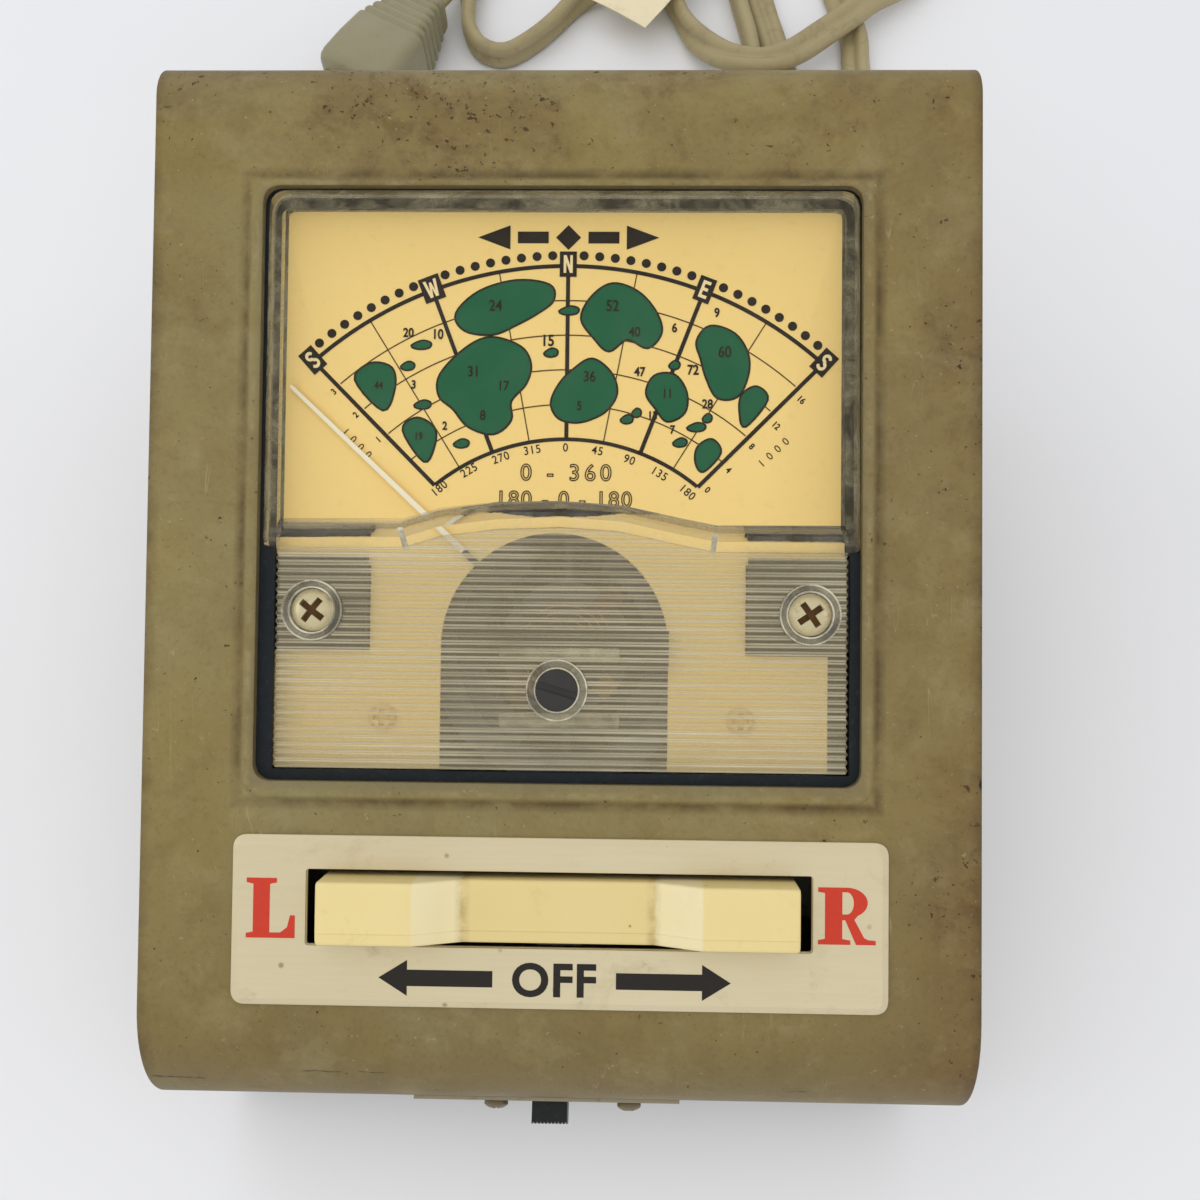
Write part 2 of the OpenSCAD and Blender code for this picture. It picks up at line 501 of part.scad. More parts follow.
module trimmer_shaft() color([0.76, 0.74, 0.68]) placed() difference() {
  union() {
    cyl_y(24, 58, 122.2, rear_y + 2.1, 1.5);
    cyl_y(24, 58, 122.2, 123.2, 5.5);
  }
  box(20, 28, rear_y + 1.3, rear_y + 3, 57.65, 58.35);
}

// ------------------------------------------------------------ rear panel
tb_n = 6; tb_p = 7.6; tb_x0 = -18.5 - tb_n * tb_p / 2;
module terminal_block() color([0.09, 0.08, 0.08]) placed() difference() {
  union() {
    box(-48, 11, rear_y + 0.02, rear_y + 5.2, 22.5, 37.5);
    for (i = [0:tb_n]) box(tb_x0 + i * tb_p - 0.6, tb_x0 + i * tb_p + 0.6, rear_y + 5.1, back_y, 23, 37);
  }
  for (x = [-44, 7]) cyl_y(x, 30, rear_y - 3, rear_y + 8, 1.65);
  for (i = [0:tb_n - 1]) cyl_y(tb_x0 + (i + 0.5) * tb_p, 30, rear_y + 1, rear_y + 8, 1.25);
}
module terminal_screws() color([0.76, 0.73, 0.62]) placed() {
  for (i = [0:tb_n - 1]) translate([tb_x0 + (i + 0.5) * tb_p, rear_y + 5.2, 30]) {
    rotate([-90, 0, 0]) pan_screw(2.6, 1.7, 1.2, 3.8);
  }
  for (x = [-44, 7]) translate([x, rear_y + 5.2, 30]) rotate([-90, 0, 0]) pan_screw(2.0, 1.6, 1.45, 9);
}
module strain_relief() color([0.08, 0.08, 0.08]) placed() translate([42, 0, 24]) {
  difference() {
    union() {
      cyl_y(0, 0, rear_y - 4, rear_y + 0.02, 4.0);
      cyl_y(0, 0, rear_y, rear_y + 2.2, 6);
      translate([0, rear_y + 2.1, 0]) rotate([-90, 0, 0]) cylinder(r1 = 5, r2 = 3.7, h = 22);
      cyl_y(0, 0, rear_y - 4.5, rear_y - sheet_t - 0.02, 5);
    }
    for (i = [0:3]) cyl_ring(rear_y + 6 + i * 4.4);
    box(-3.15, 3.15, rear_y - 5, rear_y + 25, -1.6, 1.6);
  }
}
module cyl_ring(y) translate([0, y, 0]) rotate([-90, 0, 0]) difference() {
  cylinder(r = 6, h = 1.4);
  translate([0, 0, -1]) cylinder(r = 3.5, h = 4);
}

// ------------------------------------------------------------ mains lead
// Route points: x, y, z and the roll of the flat section (0 lies flat, 90 on edge)
lead_pts = [[42, 130, 24, 0], [42, 144, 24, 0], [42, 156, 24, 0], [42, 168, 22.6, 0], [42, 180, 18, 0],
  [42, 191, 11, 0], [41.5, 200, 5, 0], [40.5, 209, 1.9, 0], [38.5, 218, 1.7, 0], [36.5, 227, 1.7, 0],
  [34.5, 239, 2, 20], [33.5, 251, 3, 60], [33.5, 263, 3.2, 90], [34.5, 275, 3.2, 90], [36.5, 288, 3.2, 90],
  [39.5, 301, 3.2, 90], [41.8, 311, 3.2, 90], [43, 321, 3.2, 90]];
coil_c = [0, 330]; coil_r0 = 28.4; coil_r1 = 43.2;
tail_pts = [[-28.4, 331, 5, 40], [-27.8, 319, 8.2, 0], [-24, 307, 8.2, 0], [-16.5, 296.5, 8.2, 0], [-6, 288, 8.2, 0],
  [4, 283.5, 7, 20], [14, 280.5, 4.4, 60], [23, 275, 3.2, 90], [28.5, 266, 3.2, 90], [29.5, 253, 3.2, 90],
  [29.5, 240, 3.2, 90], [31.5, 227, 3.2, 90], [34, 214, 3.2, 90], [34.5, 203, 3.2, 90], [31.5, 193, 3.2, 90],
  [33.5, 183, 3.2, 90], [42.5, 177, 3.2, 90], [52, 180, 3.2, 90], [57, 189, 3.2, 90], [57, 200, 2.9, 50],
  [56.5, 209, 2.2, 30], [56.5, 217, 2.2, 30], [54.5, 225, 2.2, 30], [52, 234, 3.1, 60], [51, 244, 3.2, 90],
  [54.5, 254, 3.2, 90], [63, 259.5, 3.2, 90], [72.5, 256.5, 3.2, 90], [76.5, 247.5, 3.2, 80], [74, 237.5, 4, 60],
  [68, 230.5, 4.8, 40], [60.5, 225, 5.6, 15], [54.4, 219.1, 6.1, 10], [48.8, 214, 6.6, 10], [43.2, 208.9, 7.3, 10],
  [37.6, 205.6, 8.2, 0], [32.4, 205.6, 8.2, 0], [27.2, 208.6, 6.6, 20], [22.4, 215, 4.2, 60], [19, 222, 3.2, 90],
  [16, 230, 3.1, 60], [10.5, 239, 1.9, 12], [3, 247, 2.6, 40], [-1.5, 257, 3.2, 80], [0.5, 268, 3.2, 90],
  [9, 274, 3.2, 90], [18.5, 272, 3.2, 90], [23.5, 263, 3.2, 90], [22, 253, 3.8, 60], [16, 245, 5, 25],
  [9.5, 238.5, 5.5, 10], [2.5, 232, 4.4, 45], [-4, 227, 3.3, 80], [-9, 220.5, 3.2, 90], [-14, 215.2, 3.2, 90],
  [-19.5, 211.6, 3.2, 90], [-24.8, 213.4, 3.2, 90], [-27.8, 219.5, 3.2, 90], [-28.2, 227.5, 3.1, 70],
  [-28.8, 235, 1.9, 15], [-32, 245, 2.6, 40], [-37, 256, 3.2, 80], [-37.5, 267, 3.2, 90], [-30, 275.5, 3.2, 90],
  [-19.5, 275, 3.2, 90], [-13, 266.5, 3.2, 90], [-14.5, 255.5, 4.2, 60], [-21, 245.5, 4.8, 20], [-28.5, 236, 5.6, 5],
  [-32.5, 227.8, 6.9, 0], [-36, 221.7, 7.5, 0], [-39.5, 215.6, 7.5, 0]];
function unit(v) = v / norm(v);
function tangent(p, i) = let (a = p[max(i - 1, 0)], b = p[min(i + 1, len(p) - 1)])
  unit([b[0] - a[0], b[1] - a[1], b[2] - a[2]]);
// Flat section of eight points, rolled about the route
function section(p, i, w, t) = let (q = p[i], d = tangent(p, i), s = unit(cross(d, [0, 0, 1])), u = cross(s, d))
  [for (k = [0:7]) let (a = 22.5 + 45 * k, x = w / 2 * cos(a) * 1.04, y = t / 2 * sin(a) * 1.04)
    [q[0], q[1], q[2]] + s * (x * cos(q[3]) - y * sin(q[3])) + u * (x * sin(q[3]) + y * cos(q[3]))];
module swept(p, w, t) {
  m = len(p);
  polyhedron(points = [for (i = [0:m - 1]) each section(p, i, w, t)],
    faces = concat([[for (k = [0:7]) k]], [[for (k = [7:-1:0]) (m - 1) * 8 + k]],
      [for (i = [0:m - 2], k = [0:7]) each [
        [i * 8 + k, (i + 1) * 8 + k, i * 8 + (k + 1) % 8],
        [i * 8 + (k + 1) % 8, (i + 1) * 8 + k, (i + 1) * 8 + (k + 1) % 8]]]));
}
module mains_cord_lead() color([0.58, 0.54, 0.38]) placed() swept(lead_pts, cord_w, cord_t);
module mains_cord_tail() color([0.58, 0.54, 0.38]) placed() swept(tail_pts, cord_w, cord_t);
module mains_cord_coil() color([0.58, 0.54, 0.38]) placed() translate([coil_c[0], coil_c[1], 0])
  rotate_extrude() translate([coil_r0 - 1.7, 0.05]) square([coil_r1 - coil_r0 + 3.4, 6.25]);

// Plug: tapered body lying flat, lead at its upper end, two parallel blades
plug_a = 60;
module plug_frame() placed() translate([-43, 209.5, 0]) rotate([0, 0, plug_a]) children();
module plug_body() color([0.62, 0.63, 0.52]) plug_frame() difference() {
  hull() {
    translate([-14, -9, 2]) cube([2, 18, 11]);
    translate([-14, -8, 0]) cube([2, 16, 15]);
    translate([-1, -8.5, 1.5]) cube([1, 17, 12]);
    translate([-1, -7.5, 0]) cube([1, 15, 15]);
    translate([12, -4.8, 2.8]) cube([2, 9.6, 9.4]);
  }
  translate([6.5, -3.3, 5.8]) cube([9, 6.6, 3.4]);
}
module plug_blades() color([0.80, 0.72, 0.50]) plug_frame() for (s = [-1, 1]) difference() {
  box(-31, -12, s * 6.35 - 0.75, s * 6.35 + 0.75, 4.35, 10.65);
  cyl_y(-27.5, 7.5, -12, 12, 1.6);
}
module cord_tag() color([0.90, 0.84, 0.66]) placed() translate([10.9, 214.4, 7.3]) rotate([0, 0, 56])
  box(0, 30, 0, 15, 0, 0.4);

wrap_cover();
side_panel_left();
side_panel_right();
base_plate();
base_screws();
rubber_feet();
feet_screws();
power_plate();
power_switch_frame();
power_switch_body();
power_switch_knob();
power_switch_screws();
label_plate();
rocker();
rocker_pin();
rocker_bracket();
microswitches();
left_plunger();
right_plunger();
meter_gasket();
meter_cover();
meter_cover_screws();
zero_adjuster();
zero_lever();
meter_base();
meter_studs();
meter_nuts();
dial_plate();
dial_screws();
needle();
moving_coil();
hairsprings();
pole_core();
magnet_poles();
yoke_ring();
top_bridge();
meter_terminals();
transformer_core();
transformer_winding();
transformer_frame();
transformer_screws();
motor_capacitor();
capacitor_clamp();
circuit_board();
board_spacers();
filter_capacitor();
rectifier();
fuse();
fuse_clips();
trimmer_body();
trimmer_shaft();
terminal_block();
terminal_screws();
strain_relief();
mains_cord_lead();
mains_cord_coil();
mains_cord_tail();
plug_body();
plug_blades();
cord_tag();
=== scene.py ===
import bpy, bmesh, math
import numpy as np
from mathutils import Vector, Matrix
from mathutils.geometry import tessellate_polygon


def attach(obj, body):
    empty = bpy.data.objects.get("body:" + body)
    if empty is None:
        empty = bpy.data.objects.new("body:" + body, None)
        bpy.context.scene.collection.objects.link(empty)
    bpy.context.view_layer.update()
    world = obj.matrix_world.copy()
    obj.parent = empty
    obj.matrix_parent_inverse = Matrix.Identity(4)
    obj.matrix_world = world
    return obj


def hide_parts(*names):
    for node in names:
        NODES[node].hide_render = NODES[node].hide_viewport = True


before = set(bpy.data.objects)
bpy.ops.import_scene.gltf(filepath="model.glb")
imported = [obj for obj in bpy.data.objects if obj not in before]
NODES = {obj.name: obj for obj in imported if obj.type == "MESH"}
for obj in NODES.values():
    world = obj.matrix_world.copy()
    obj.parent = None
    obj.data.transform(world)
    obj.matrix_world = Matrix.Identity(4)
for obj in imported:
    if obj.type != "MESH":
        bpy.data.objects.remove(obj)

scene = bpy.context.scene
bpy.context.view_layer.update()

# ------------------------------------------------------------ frame
S = math.radians(19)
CS, SN = math.cos(S), math.sin(S)
FRONT_H, FRONT_R, REAR_R, PANEL_L, SHEET = 34.0, 15.0, 5.0, 121.0, 1.0
P1 = (FRONT_R - FRONT_R * SN, FRONT_H + FRONT_R * CS)
P2 = (P1[0] + PANEL_L * CS, P1[1] + PANEL_L * SN)
C1 = (FRONT_R, FRONT_H)
C2 = (P2[0] + REAR_R * SN, P2[1] - REAR_R * CS)
REAR_Y = C2[0] + REAR_R
SHIFT = -(REAR_Y + 11.8 - 3.5) / 2


def panel(p):
    """Panel millimetres (across, up the slope, out of the panel) to row metres."""
    p = np.asarray(p, float)
    u, v, n = p[..., 0], p[..., 1], p[..., 2]
    return np.stack([u, P1[0] + v * CS - n * SN + SHIFT, P1[1] + v * SN + n * CS], -1) * 0.001


def raw(p):
    """Case millimetres (y = 0 at the front face) to row metres."""
    p = np.asarray(p, float)
    return np.stack([p[..., 0], p[..., 1] + SHIFT, p[..., 2]], -1) * 0.001


# ------------------------------------------------------------ camera
cam_data = bpy.data.cameras.new("camera")
cam_data.lens, cam_data.sensor_width = 38.79, 36.0
cam_data.clip_start, cam_data.clip_end = 0.01, 20
cam = bpy.data.objects.new("camera", cam_data)
scene.collection.objects.link(cam)
scene.camera = cam
_r = Vector((0.99962138, 0.01834245, -0.02050985))
_d = Vector((0.00986664, -0.93477449, -0.35510463))
_f = Vector((-0.02568557, 0.35476782, -0.93460154))
rot = Matrix((( _r.x, -_d.x, -_f.x), (_r.y, -_d.y, -_f.y), (_r.z, -_d.z, -_f.z)))
cam.matrix_world = Matrix.Translation(Vector((0.0095508, -0.068728, 0.223995))) @ rot.to_4x4()


# ------------------------------------------------------------ materials
class Mat:
    def __init__(self, name, color=(0.5, 0.5, 0.5), rough=0.5, metal=0.0, spec=0.5, space="Object"):
        self.m = bpy.data.materials.new(name)
        self.m.use_nodes = True
        self.t = self.m.node_tree
        self.t.nodes.clear()
        self.out = self.new("ShaderNodeOutputMaterial")
        self.b = self.new("ShaderNodeBsdfPrincipled")
        self.link(self.b.outputs["BSDF"], self.out.inputs["Surface"])
        self.b.inputs["Base Color"].default_value = (*color, 1)
        self.b.inputs["Roughness"].default_value = rough
        self.b.inputs["Metallic"].default_value = metal
        self.b.inputs["Specular IOR Level"].default_value = spec
        self.coord = self.new("ShaderNodeTexCoord").outputs[space]
        self.last_normal = None

    def new(self, kind):
        return self.t.nodes.new(kind)

    def link(self, a, b):
        self.t.links.new(a, b)

    def put(self, sock, val):
        if isinstance(val, bpy.types.NodeSocket):
            self.link(val, sock)
        elif isinstance(val, (tuple, list)):
            sock.default_value = (*val, 1) if len(val) == 3 and sock.type == "RGBA" else tuple(val)
        else:
            sock.default_value = val

    def vec(self, scale=(1, 1, 1), loc=(0, 0, 0), rot=(0, 0, 0), src=None):
        n = self.new("ShaderNodeMapping")
        self.link(src or self.coord, n.inputs["Vector"])
        n.inputs["Scale"].default_value = scale
        n.inputs["Location"].default_value = loc
        n.inputs["Rotation"].default_value = rot
        return n.outputs[0]

    def noise(self, scale, detail=4.0, rough=0.55, dist=0.0, vec=None):
        n = self.new("ShaderNodeTexNoise")
        self.link(vec or self.coord, n.inputs["Vector"])
        n.inputs["Scale"].default_value = scale
        n.inputs["Detail"].default_value = detail
        n.inputs["Roughness"].default_value = rough
        n.inputs["Distortion"].default_value = dist
        return n.outputs["Fac"]

    def voronoi(self, scale, vec=None, feature="F1", rnd=1.0):
        n = self.new("ShaderNodeTexVoronoi")
        n.feature = feature
        self.link(vec or self.coord, n.inputs["Vector"])
        n.inputs["Scale"].default_value = scale
        n.inputs["Randomness"].default_value = rnd
        return n

    def ramp(self, fac, stops, interp="LINEAR"):
        n = self.new("ShaderNodeValToRGB")
        n.color_ramp.interpolation = interp
        el = n.color_ramp.elements
        while len(el) < len(stops):
            el.new(0.5)
        for e, (pos, col) in zip(el, stops):
            e.position = pos
            e.color = (col, col, col, 1) if isinstance(col, (int, float)) else (*col, 1)
        self.link(fac, n.inputs["Fac"])
        return n.outputs["Color"]

    def mix(self, fac, a, b, mode="MIX"):
        n = self.new("ShaderNodeMix")
        n.data_type = "RGBA"
        n.blend_type = mode
        self.put(n.inputs["Factor"], fac)
        self.put(n.inputs[6], a)
        self.put(n.inputs[7], b)
        return n.outputs[2]

    def math(self, op, a, b=0.0, clamp=False):
        n = self.new("ShaderNodeMath")
        n.operation = op
        n.use_clamp = clamp
        self.put(n.inputs[0], a)
        self.put(n.inputs[1], b)
        return n.outputs[0]

    def sep(self, src=None):
        n = self.new("ShaderNodeSeparateXYZ")
        self.link(src or self.coord, n.inputs[0])
        return n.outputs

    def step(self, x, lo, hi):
        """0 below lo, 1 above hi."""
        n = self.new("ShaderNodeMapRange")
        n.clamp = True
        self.put(n.inputs["Value"], x)
        n.inputs["From Min"].default_value = lo
        n.inputs["From Max"].default_value = hi
        return n.outputs["Result"]

    def bump(self, height, strength, dist=0.0002):
        n = self.new("ShaderNodeBump")
        n.inputs["Strength"].default_value = strength
        n.inputs["Distance"].default_value = dist
        self.link(height, n.inputs["Height"])
        if self.last_normal is not None:
            self.link(self.last_normal, n.inputs["Normal"])
        self.last_normal = n.outputs["Normal"]
        self.link(self.last_normal, self.b.inputs["Normal"])

    def round_edges(self, radius):
        n = self.new("ShaderNodeBevel")
        n.samples = 4
        n.inputs["Radius"].default_value = radius
        self.last_normal = n.outputs["Normal"]
        self.link(self.last_normal, self.b.inputs["Normal"])

    def color(self, c):
        self.put(self.b.inputs["Base Color"], c)

    def rough(self, r):
        self.put(self.b.inputs["Roughness"], r)


def simple(name, color, rough=0.5, metal=0.0, vary=0.12, grain=0.0, edge=0.0, scale=180, dirt=None, spec=0.5):
    """A finish with a soft tone change, fine grain, and rounded edges."""
    m = Mat(name, color, rough, metal, spec)
    if edge:
        m.round_edges(edge)
    n = m.noise(scale, 5, 0.6)
    lo = tuple(max(0.0, x * (1 - vary)) for x in color)
    hi = tuple(min(1.0, x * (1 + vary)) for x in color)
    c = m.mix(n, lo, hi)
    if dirt:
        d = m.ramp(m.noise(scale * 2.3, 6, 0.7, 0.4), [(0.56, 0.0), (0.72, 1.0)])
        c = m.mix(m.math("MULTIPLY", d, dirt[1]), c, dirt[0])
    m.color(c)
    m.rough(m.math("ADD", m.math("MULTIPLY", m.noise(scale * 1.7, 3), 0.18), rough - 0.09))
    if grain:
        m.bump(m.noise(2200, 3, 0.6), grain, 0.00012)
    return m.m


def lin(r, g, b):
    """sRGB 0..255 to linear."""
    f = lambda x: (x / 255) / 12.92 if x / 255 <= 0.04045 else ((x / 255 + 0.055) / 1.055) ** 2.4
    return (f(r), f(g), f(b))


def paint_material():
    """Aged khaki enamel: speckled, stained, darker round the foot of the rim and chipped at the sheet's edges, with a
    painted highlight on the upper edge and painted shade on the front bend.
    The UV map holds x and the length along the bent sheet, in metres."""
    m = Mat("case_paint", lin(130, 115, 72), 0.5, 0, 0.28)
    uv = m.new("ShaderNodeUVMap").outputs[0]
    xyz = m.sep(uv)
    x, s = xyz[0], xyz[1]
    m.round_edges(0.00025)
    base = m.mix(m.ramp(m.noise(13, 5, 0.6), [(0.3, 0.0), (0.7, 1.0)]), lin(133, 116, 66), lin(145, 130, 81))
    base = m.mix(m.ramp(m.noise(34, 6, 0.65, 0.6, m.vec(loc=(0.2, 0.7, 0.1))), [(0.40, 0.0), (0.68, 0.8)]), base, lin(134, 124, 84))
    # painted highlight along the upper edge and rear bend, and painted shade darkening the front bend and front face
    top = m.step(s, 0.166, 0.178)
    c = m.mix(m.math("MULTIPLY", top, 0.5), base, lin(142, 134, 96))
    low = m.math("SUBTRACT", 1.0, m.step(s, 0.034, 0.074))
    c = m.mix(m.math("MULTIPLY", low, 0.70), c, lin(110, 93, 52))
    # painted sheen: a lighter grey band over the front face
    front_face_sheen = m.math("SUBTRACT", 1.0, m.step(s, 0.010, 0.031))
    c = m.mix(m.math("MULTIPLY", front_face_sheen, m.ramp(m.noise(52, 6, 0.7, 0.3), [(0.3, 0.3), (0.6, 0.85)])), c, lin(118, 108, 80))
    # browner towards the right side
    right = m.step(x, 0.030, 0.052)
    c = m.mix(m.math("MULTIPLY", m.math("MULTIPLY", right, m.ramp(m.noise(30, 6, 0.65, 0.4), [(0.30, 0.35), (0.62, 1.0)])), 0.60), c, lin(113, 86, 44))
    # rust-brown stains with clustered specks
    cloud = m.noise(31, 7, 0.70, 0.5, m.vec(loc=(0.43, 0.15, 0.6)))
    zone = m.math("MAXIMUM", m.step(s, 0.135, 0.158), m.math("MAXIMUM", m.step(x, 0.040, 0.050), m.math("MULTIPLY", m.math("SUBTRACT", 1.0, m.step(x, -0.050, -0.042)), m.step(s, 0.115, 0.15))))
    stain = m.math("MULTIPLY", m.ramp(cloud, [(0.45, 0.0), (0.64, 1.0)]), m.math("ADD", m.math("MULTIPLY", zone, 0.72), 0.28))
    c = m.mix(m.math("MULTIPLY", stain, 0.50), c, lin(106, 80, 44))
    fine_st = m.math("MULTIPLY", m.ramp(m.noise(240, 6, 0.75, 0.4), [(0.50, 0.0), (0.60, 1.0)]), stain)
    c = m.mix(m.math("MULTIPLY", fine_st, 0.45), c, lin(80, 54, 28))
    smear = m.ramp(m.noise(75, 7, 0.7, 0.9, m.vec((1, 1, 1), (1.3, 0.8, 0.1))), [(0.54, 0.0), (0.70, 1.0)])
    c = m.mix(m.math("MULTIPLY", smear, 0.30), c, lin(100, 82, 46))
    pale = m.ramp(m.noise(64, 7, 0.72, 0.5, m.vec(loc=(0.6, 0.3, 0.9))), [(0.56, 0.0), (0.74, 1.0)])
    c = m.mix(m.math("MULTIPLY", pale, 0.35), c, lin(150, 140, 104))
    # specks of several sizes
    dense = m.math("ADD", m.math("MULTIPLY", stain, 0.085), m.math("MULTIPLY", m.ramp(m.noise(28, 3, 0.5, 0.1, m.vec(loc=(0.5, 0.1, 0.4))), [(0.4, 0.0), (0.66, 1.0)]), 0.03))
    sp = m.step(m.math("ADD", m.noise(1050, 2.5, 0.6), dense), 0.725, 0.75)
    c = m.mix(m.math("MULTIPLY", sp, 0.85), c, lin(60, 38, 18))
    sp2 = m.step(m.math("ADD", m.noise(430, 3, 0.65, 0.3, m.vec(loc=(0.9, 0.4, 0.2))), dense), 0.735, 0.76)
    c = m.mix(m.math("MULTIPLY", sp2, 0.9), c, lin(52, 34, 18))
    fine = m.ramp(m.noise(1500, 3, 0.6), [(0.30, 1.0), (0.46, 0.0)])
    c = m.mix(m.math("MULTIPLY", fine, 0.2), c, lin(84, 64, 34))
    mott = m.ramp(m.noise(150, 6, 0.72, 0.2, m.vec(loc=(0.8, 0.5, 0.3))), [(0.34, 1.0), (0.52, 0.0)])
    c = m.mix(m.math("MULTIPLY", mott, 0.30), c, lin(112, 94, 54))
    mott2 = m.ramp(m.noise(110, 6, 0.72, 0.2, m.vec(loc=(0.1, 0.9, 0.6))), [(0.52, 0.0), (0.68, 1.0)])
    c = m.mix(m.math("MULTIPLY", mott2, 0.28), c, lin(156, 144, 102))
    glint = m.step(m.noise(1300, 2, 0.6, 0, m.vec(loc=(0.3, 0.9, 0.5))), 0.70, 0.74)
    c = m.mix(m.math("MULTIPLY", glint, 0.35), c, lin(176, 164, 126))
    # thin scratches and lint
    sc = None
    for ang, off in [(0.5, 0.1), (-0.9, 0.6), (1.5, 0.33), (2.5, 0.8)]:
        w = m.noise(24, 2.0, 0.5, 1.8, m.vec((7, 0.7, 1), (off, off * 2, 0), (0, 0, ang), uv))
        line = m.ramp(w, [(0.4965, 0.0), (0.5, 1.0), (0.5035, 0.0)])
        gate = m.ramp(m.noise(70, 2, 0.5, 0, m.vec(loc=(off, 0.4, off))), [(0.63, 0.0), (0.68, 1.0)])
        one = m.math("MULTIPLY", line, gate)
        sc = one if sc is None else m.math("MAXIMUM", sc, one)
    c = m.mix(m.math("MULTIPLY", sc, 0.38), c, lin(180, 166, 128))
    # dark scratches low on the front bend
    for y0, slope, x0, x1, wd in ((0.0372, 0.06, -0.0545, -0.0465, 0.00030), (0.0392, 0.02, -0.034, -0.028, 0.00018), (0.0364, -0.04, 0.030, 0.0335, 0.00022), (0.0392, 0.04, -0.0265, -0.022, 0.00016)):
        wob = m.math("MULTIPLY", m.math("SUBTRACT", m.noise(500, 2), 0.5), 0.0007)
        line = m.math("ABSOLUTE", m.math("SUBTRACT", m.math("ADD", m.math("ADD", s, wob), m.math("MULTIPLY", x, slope)), y0 + slope * (x0 + x1) / 2))
        d1 = m.math("SUBTRACT", 1.0, m.step(line, wd * 0.5, wd))
        d1 = m.math("MULTIPLY", d1, m.math("MULTIPLY", m.step(x, x0, x0 + 0.001), m.math("SUBTRACT", 1.0, m.step(x, x1 - 0.001, x1))))
        c = m.mix(m.math("MULTIPLY", d1, m.ramp(m.noise(700, 3), [(0.35, 0.2), (0.55, 0.85)])), c, lin(54, 40, 24))
    # worn, darker edges of the bent sheet with bare-metal chips
    ax = m.math("ABSOLUTE", x)
    wear = m.math("ADD", m.math("MULTIPLY", m.step(ax, 0.0515, 0.0550), 0.55), m.math("MULTIPLY", m.noise(120, 6, 0.75), 0.75))
    c = m.mix(m.math("MULTIPLY", m.ramp(wear, [(0.66, 0.0), (0.88, 0.6), (0.96, 1.0)]), 0.6), c, lin(80, 62, 36))
    chip = m.step(m.math("ADD", m.math("MULTIPLY", m.step(ax, 0.0532, 0.0549), 0.42), m.math("MULTIPLY", m.noise(330, 5, 0.7, 0.3, m.vec(loc=(0.7, 0, 0))), 0.9)), 0.97, 0.99)
    c = m.mix(chip, c, lin(36, 28, 20))
    # darker band along the foot of the rim round the meter, worn crest
    gx = m.math("SUBTRACT", m.math("ABSOLUTE", m.math("ADD", x, 0.0004)), 0.0415)
    gy = m.math("SUBTRACT", m.math("ABSOLUTE", m.math("SUBTRACT", s, 0.11717)), 0.04115)
    g = m.math("MAXIMUM", gx, gy)
    ring = m.math("MULTIPLY", m.step(g, -0.0004, 0.0002), m.math("SUBTRACT", 1.0, m.step(g, 0.0004, 0.0015)))
    c = m.mix(m.math("MULTIPLY", ring, m.ramp(m.noise(150, 5, 0.7), [(0.35, 0.2), (0.60, 0.8)])), c, lin(78, 62, 34))
    inner = m.math("SUBTRACT", 1.0, m.step(g, -0.0024, -0.0006))
    c = m.mix(m.math("MULTIPLY", m.math("MULTIPLY", inner, m.step(g, -0.0040, -0.0030)), 0.45), c, lin(112, 104, 82))
    crest = m.math("MULTIPLY", m.step(g, -0.0015, -0.0010), m.math("SUBTRACT", 1.0, m.step(g, -0.0009, -0.0003)))
    crest = m.math("MULTIPLY", crest, m.ramp(m.noise(210, 6, 0.75, 0.2, m.vec(loc=(0.9, 0.9, 0))), [(0.48, 0.0), (0.66, 0.42)]))
    c = m.mix(crest, c, lin(168, 156, 118))
    m.color(c)
    m.rough(m.math("ADD", m.math("MULTIPLY", m.noise(70, 6, 0.7), 0.22), 0.38))
    m.bump(m.noise(700, 3, 0.5), 0.10, 0.00025)
    m.bump(sp, -0.25, 0.0001)
    return m.m


def clear_material(name, tint=(0.97, 0.97, 0.95), rough=0.03, ior=1.25, dust_and_sheen=0.03, facing=0.0, veil=((0.72, 0.67, 0.55), (0.84, 0.80, 0.70))):
    """Clear moulded plastic: see-through, with edge reflections and a diffuse veil: a little dust, and on the window
    walls and glint pieces a painted reflection.
    """
    m = Mat(name, (0.78, 0.74, 0.62), 0.6, 0, 0.3)
    m.color(m.mix(m.noise(260, 5), *veil))
    tr = m.new("ShaderNodeBsdfTransparent")
    tr.inputs["Color"].default_value = (*tint, 1)
    gl = m.new("ShaderNodeBsdfGlossy")
    gl.inputs["Roughness"].default_value = rough
    fr = m.new("ShaderNodeFresnel")
    fr.inputs["IOR"].default_value = ior
    if facing:
        m.bump(m.noise(420, 3), facing, 0.0002)
        m.link(m.last_normal, gl.inputs["Normal"])
    mx = m.new("ShaderNodeMixShader")
    m.link(fr.outputs[0], mx.inputs[0])
    m.link(tr.outputs[0], mx.inputs[1])
    m.link(gl.outputs[0], mx.inputs[2])
    m2 = m.new("ShaderNodeMixShader")
    m.link(m.ramp(m.noise(150, 7, 0.75, 0.4), [(0.42, dust_and_sheen * 0.3), (0.75, dust_and_sheen * 2.2)]), m2.inputs[0])
    m.link(mx.outputs[0], m2.inputs[1])
    m.link(m.b.outputs[0], m2.inputs[2])
    see_through(m, m2.outputs[0], 0.985)
    return m.m


def see_through(m, shader, pass_on):
    """Shadow and bounce light goes through the plastic almost unchanged."""
    lp = m.new("ShaderNodeLightPath")
    tr = m.new("ShaderNodeBsdfTransparent")
    tr.inputs["Color"].default_value = (pass_on, pass_on, pass_on, 1)
    mx = m.new("ShaderNodeMixShader")
    m.link(m.math("MAXIMUM", lp.outputs["Is Shadow Ray"], lp.outputs["Is Diffuse Ray"]), mx.inputs[0])
    m.link(shader, mx.inputs[1])
    m.link(tr.outputs[0], mx.inputs[2])
    m.link(mx.outputs[0], m.out.inputs["Surface"])


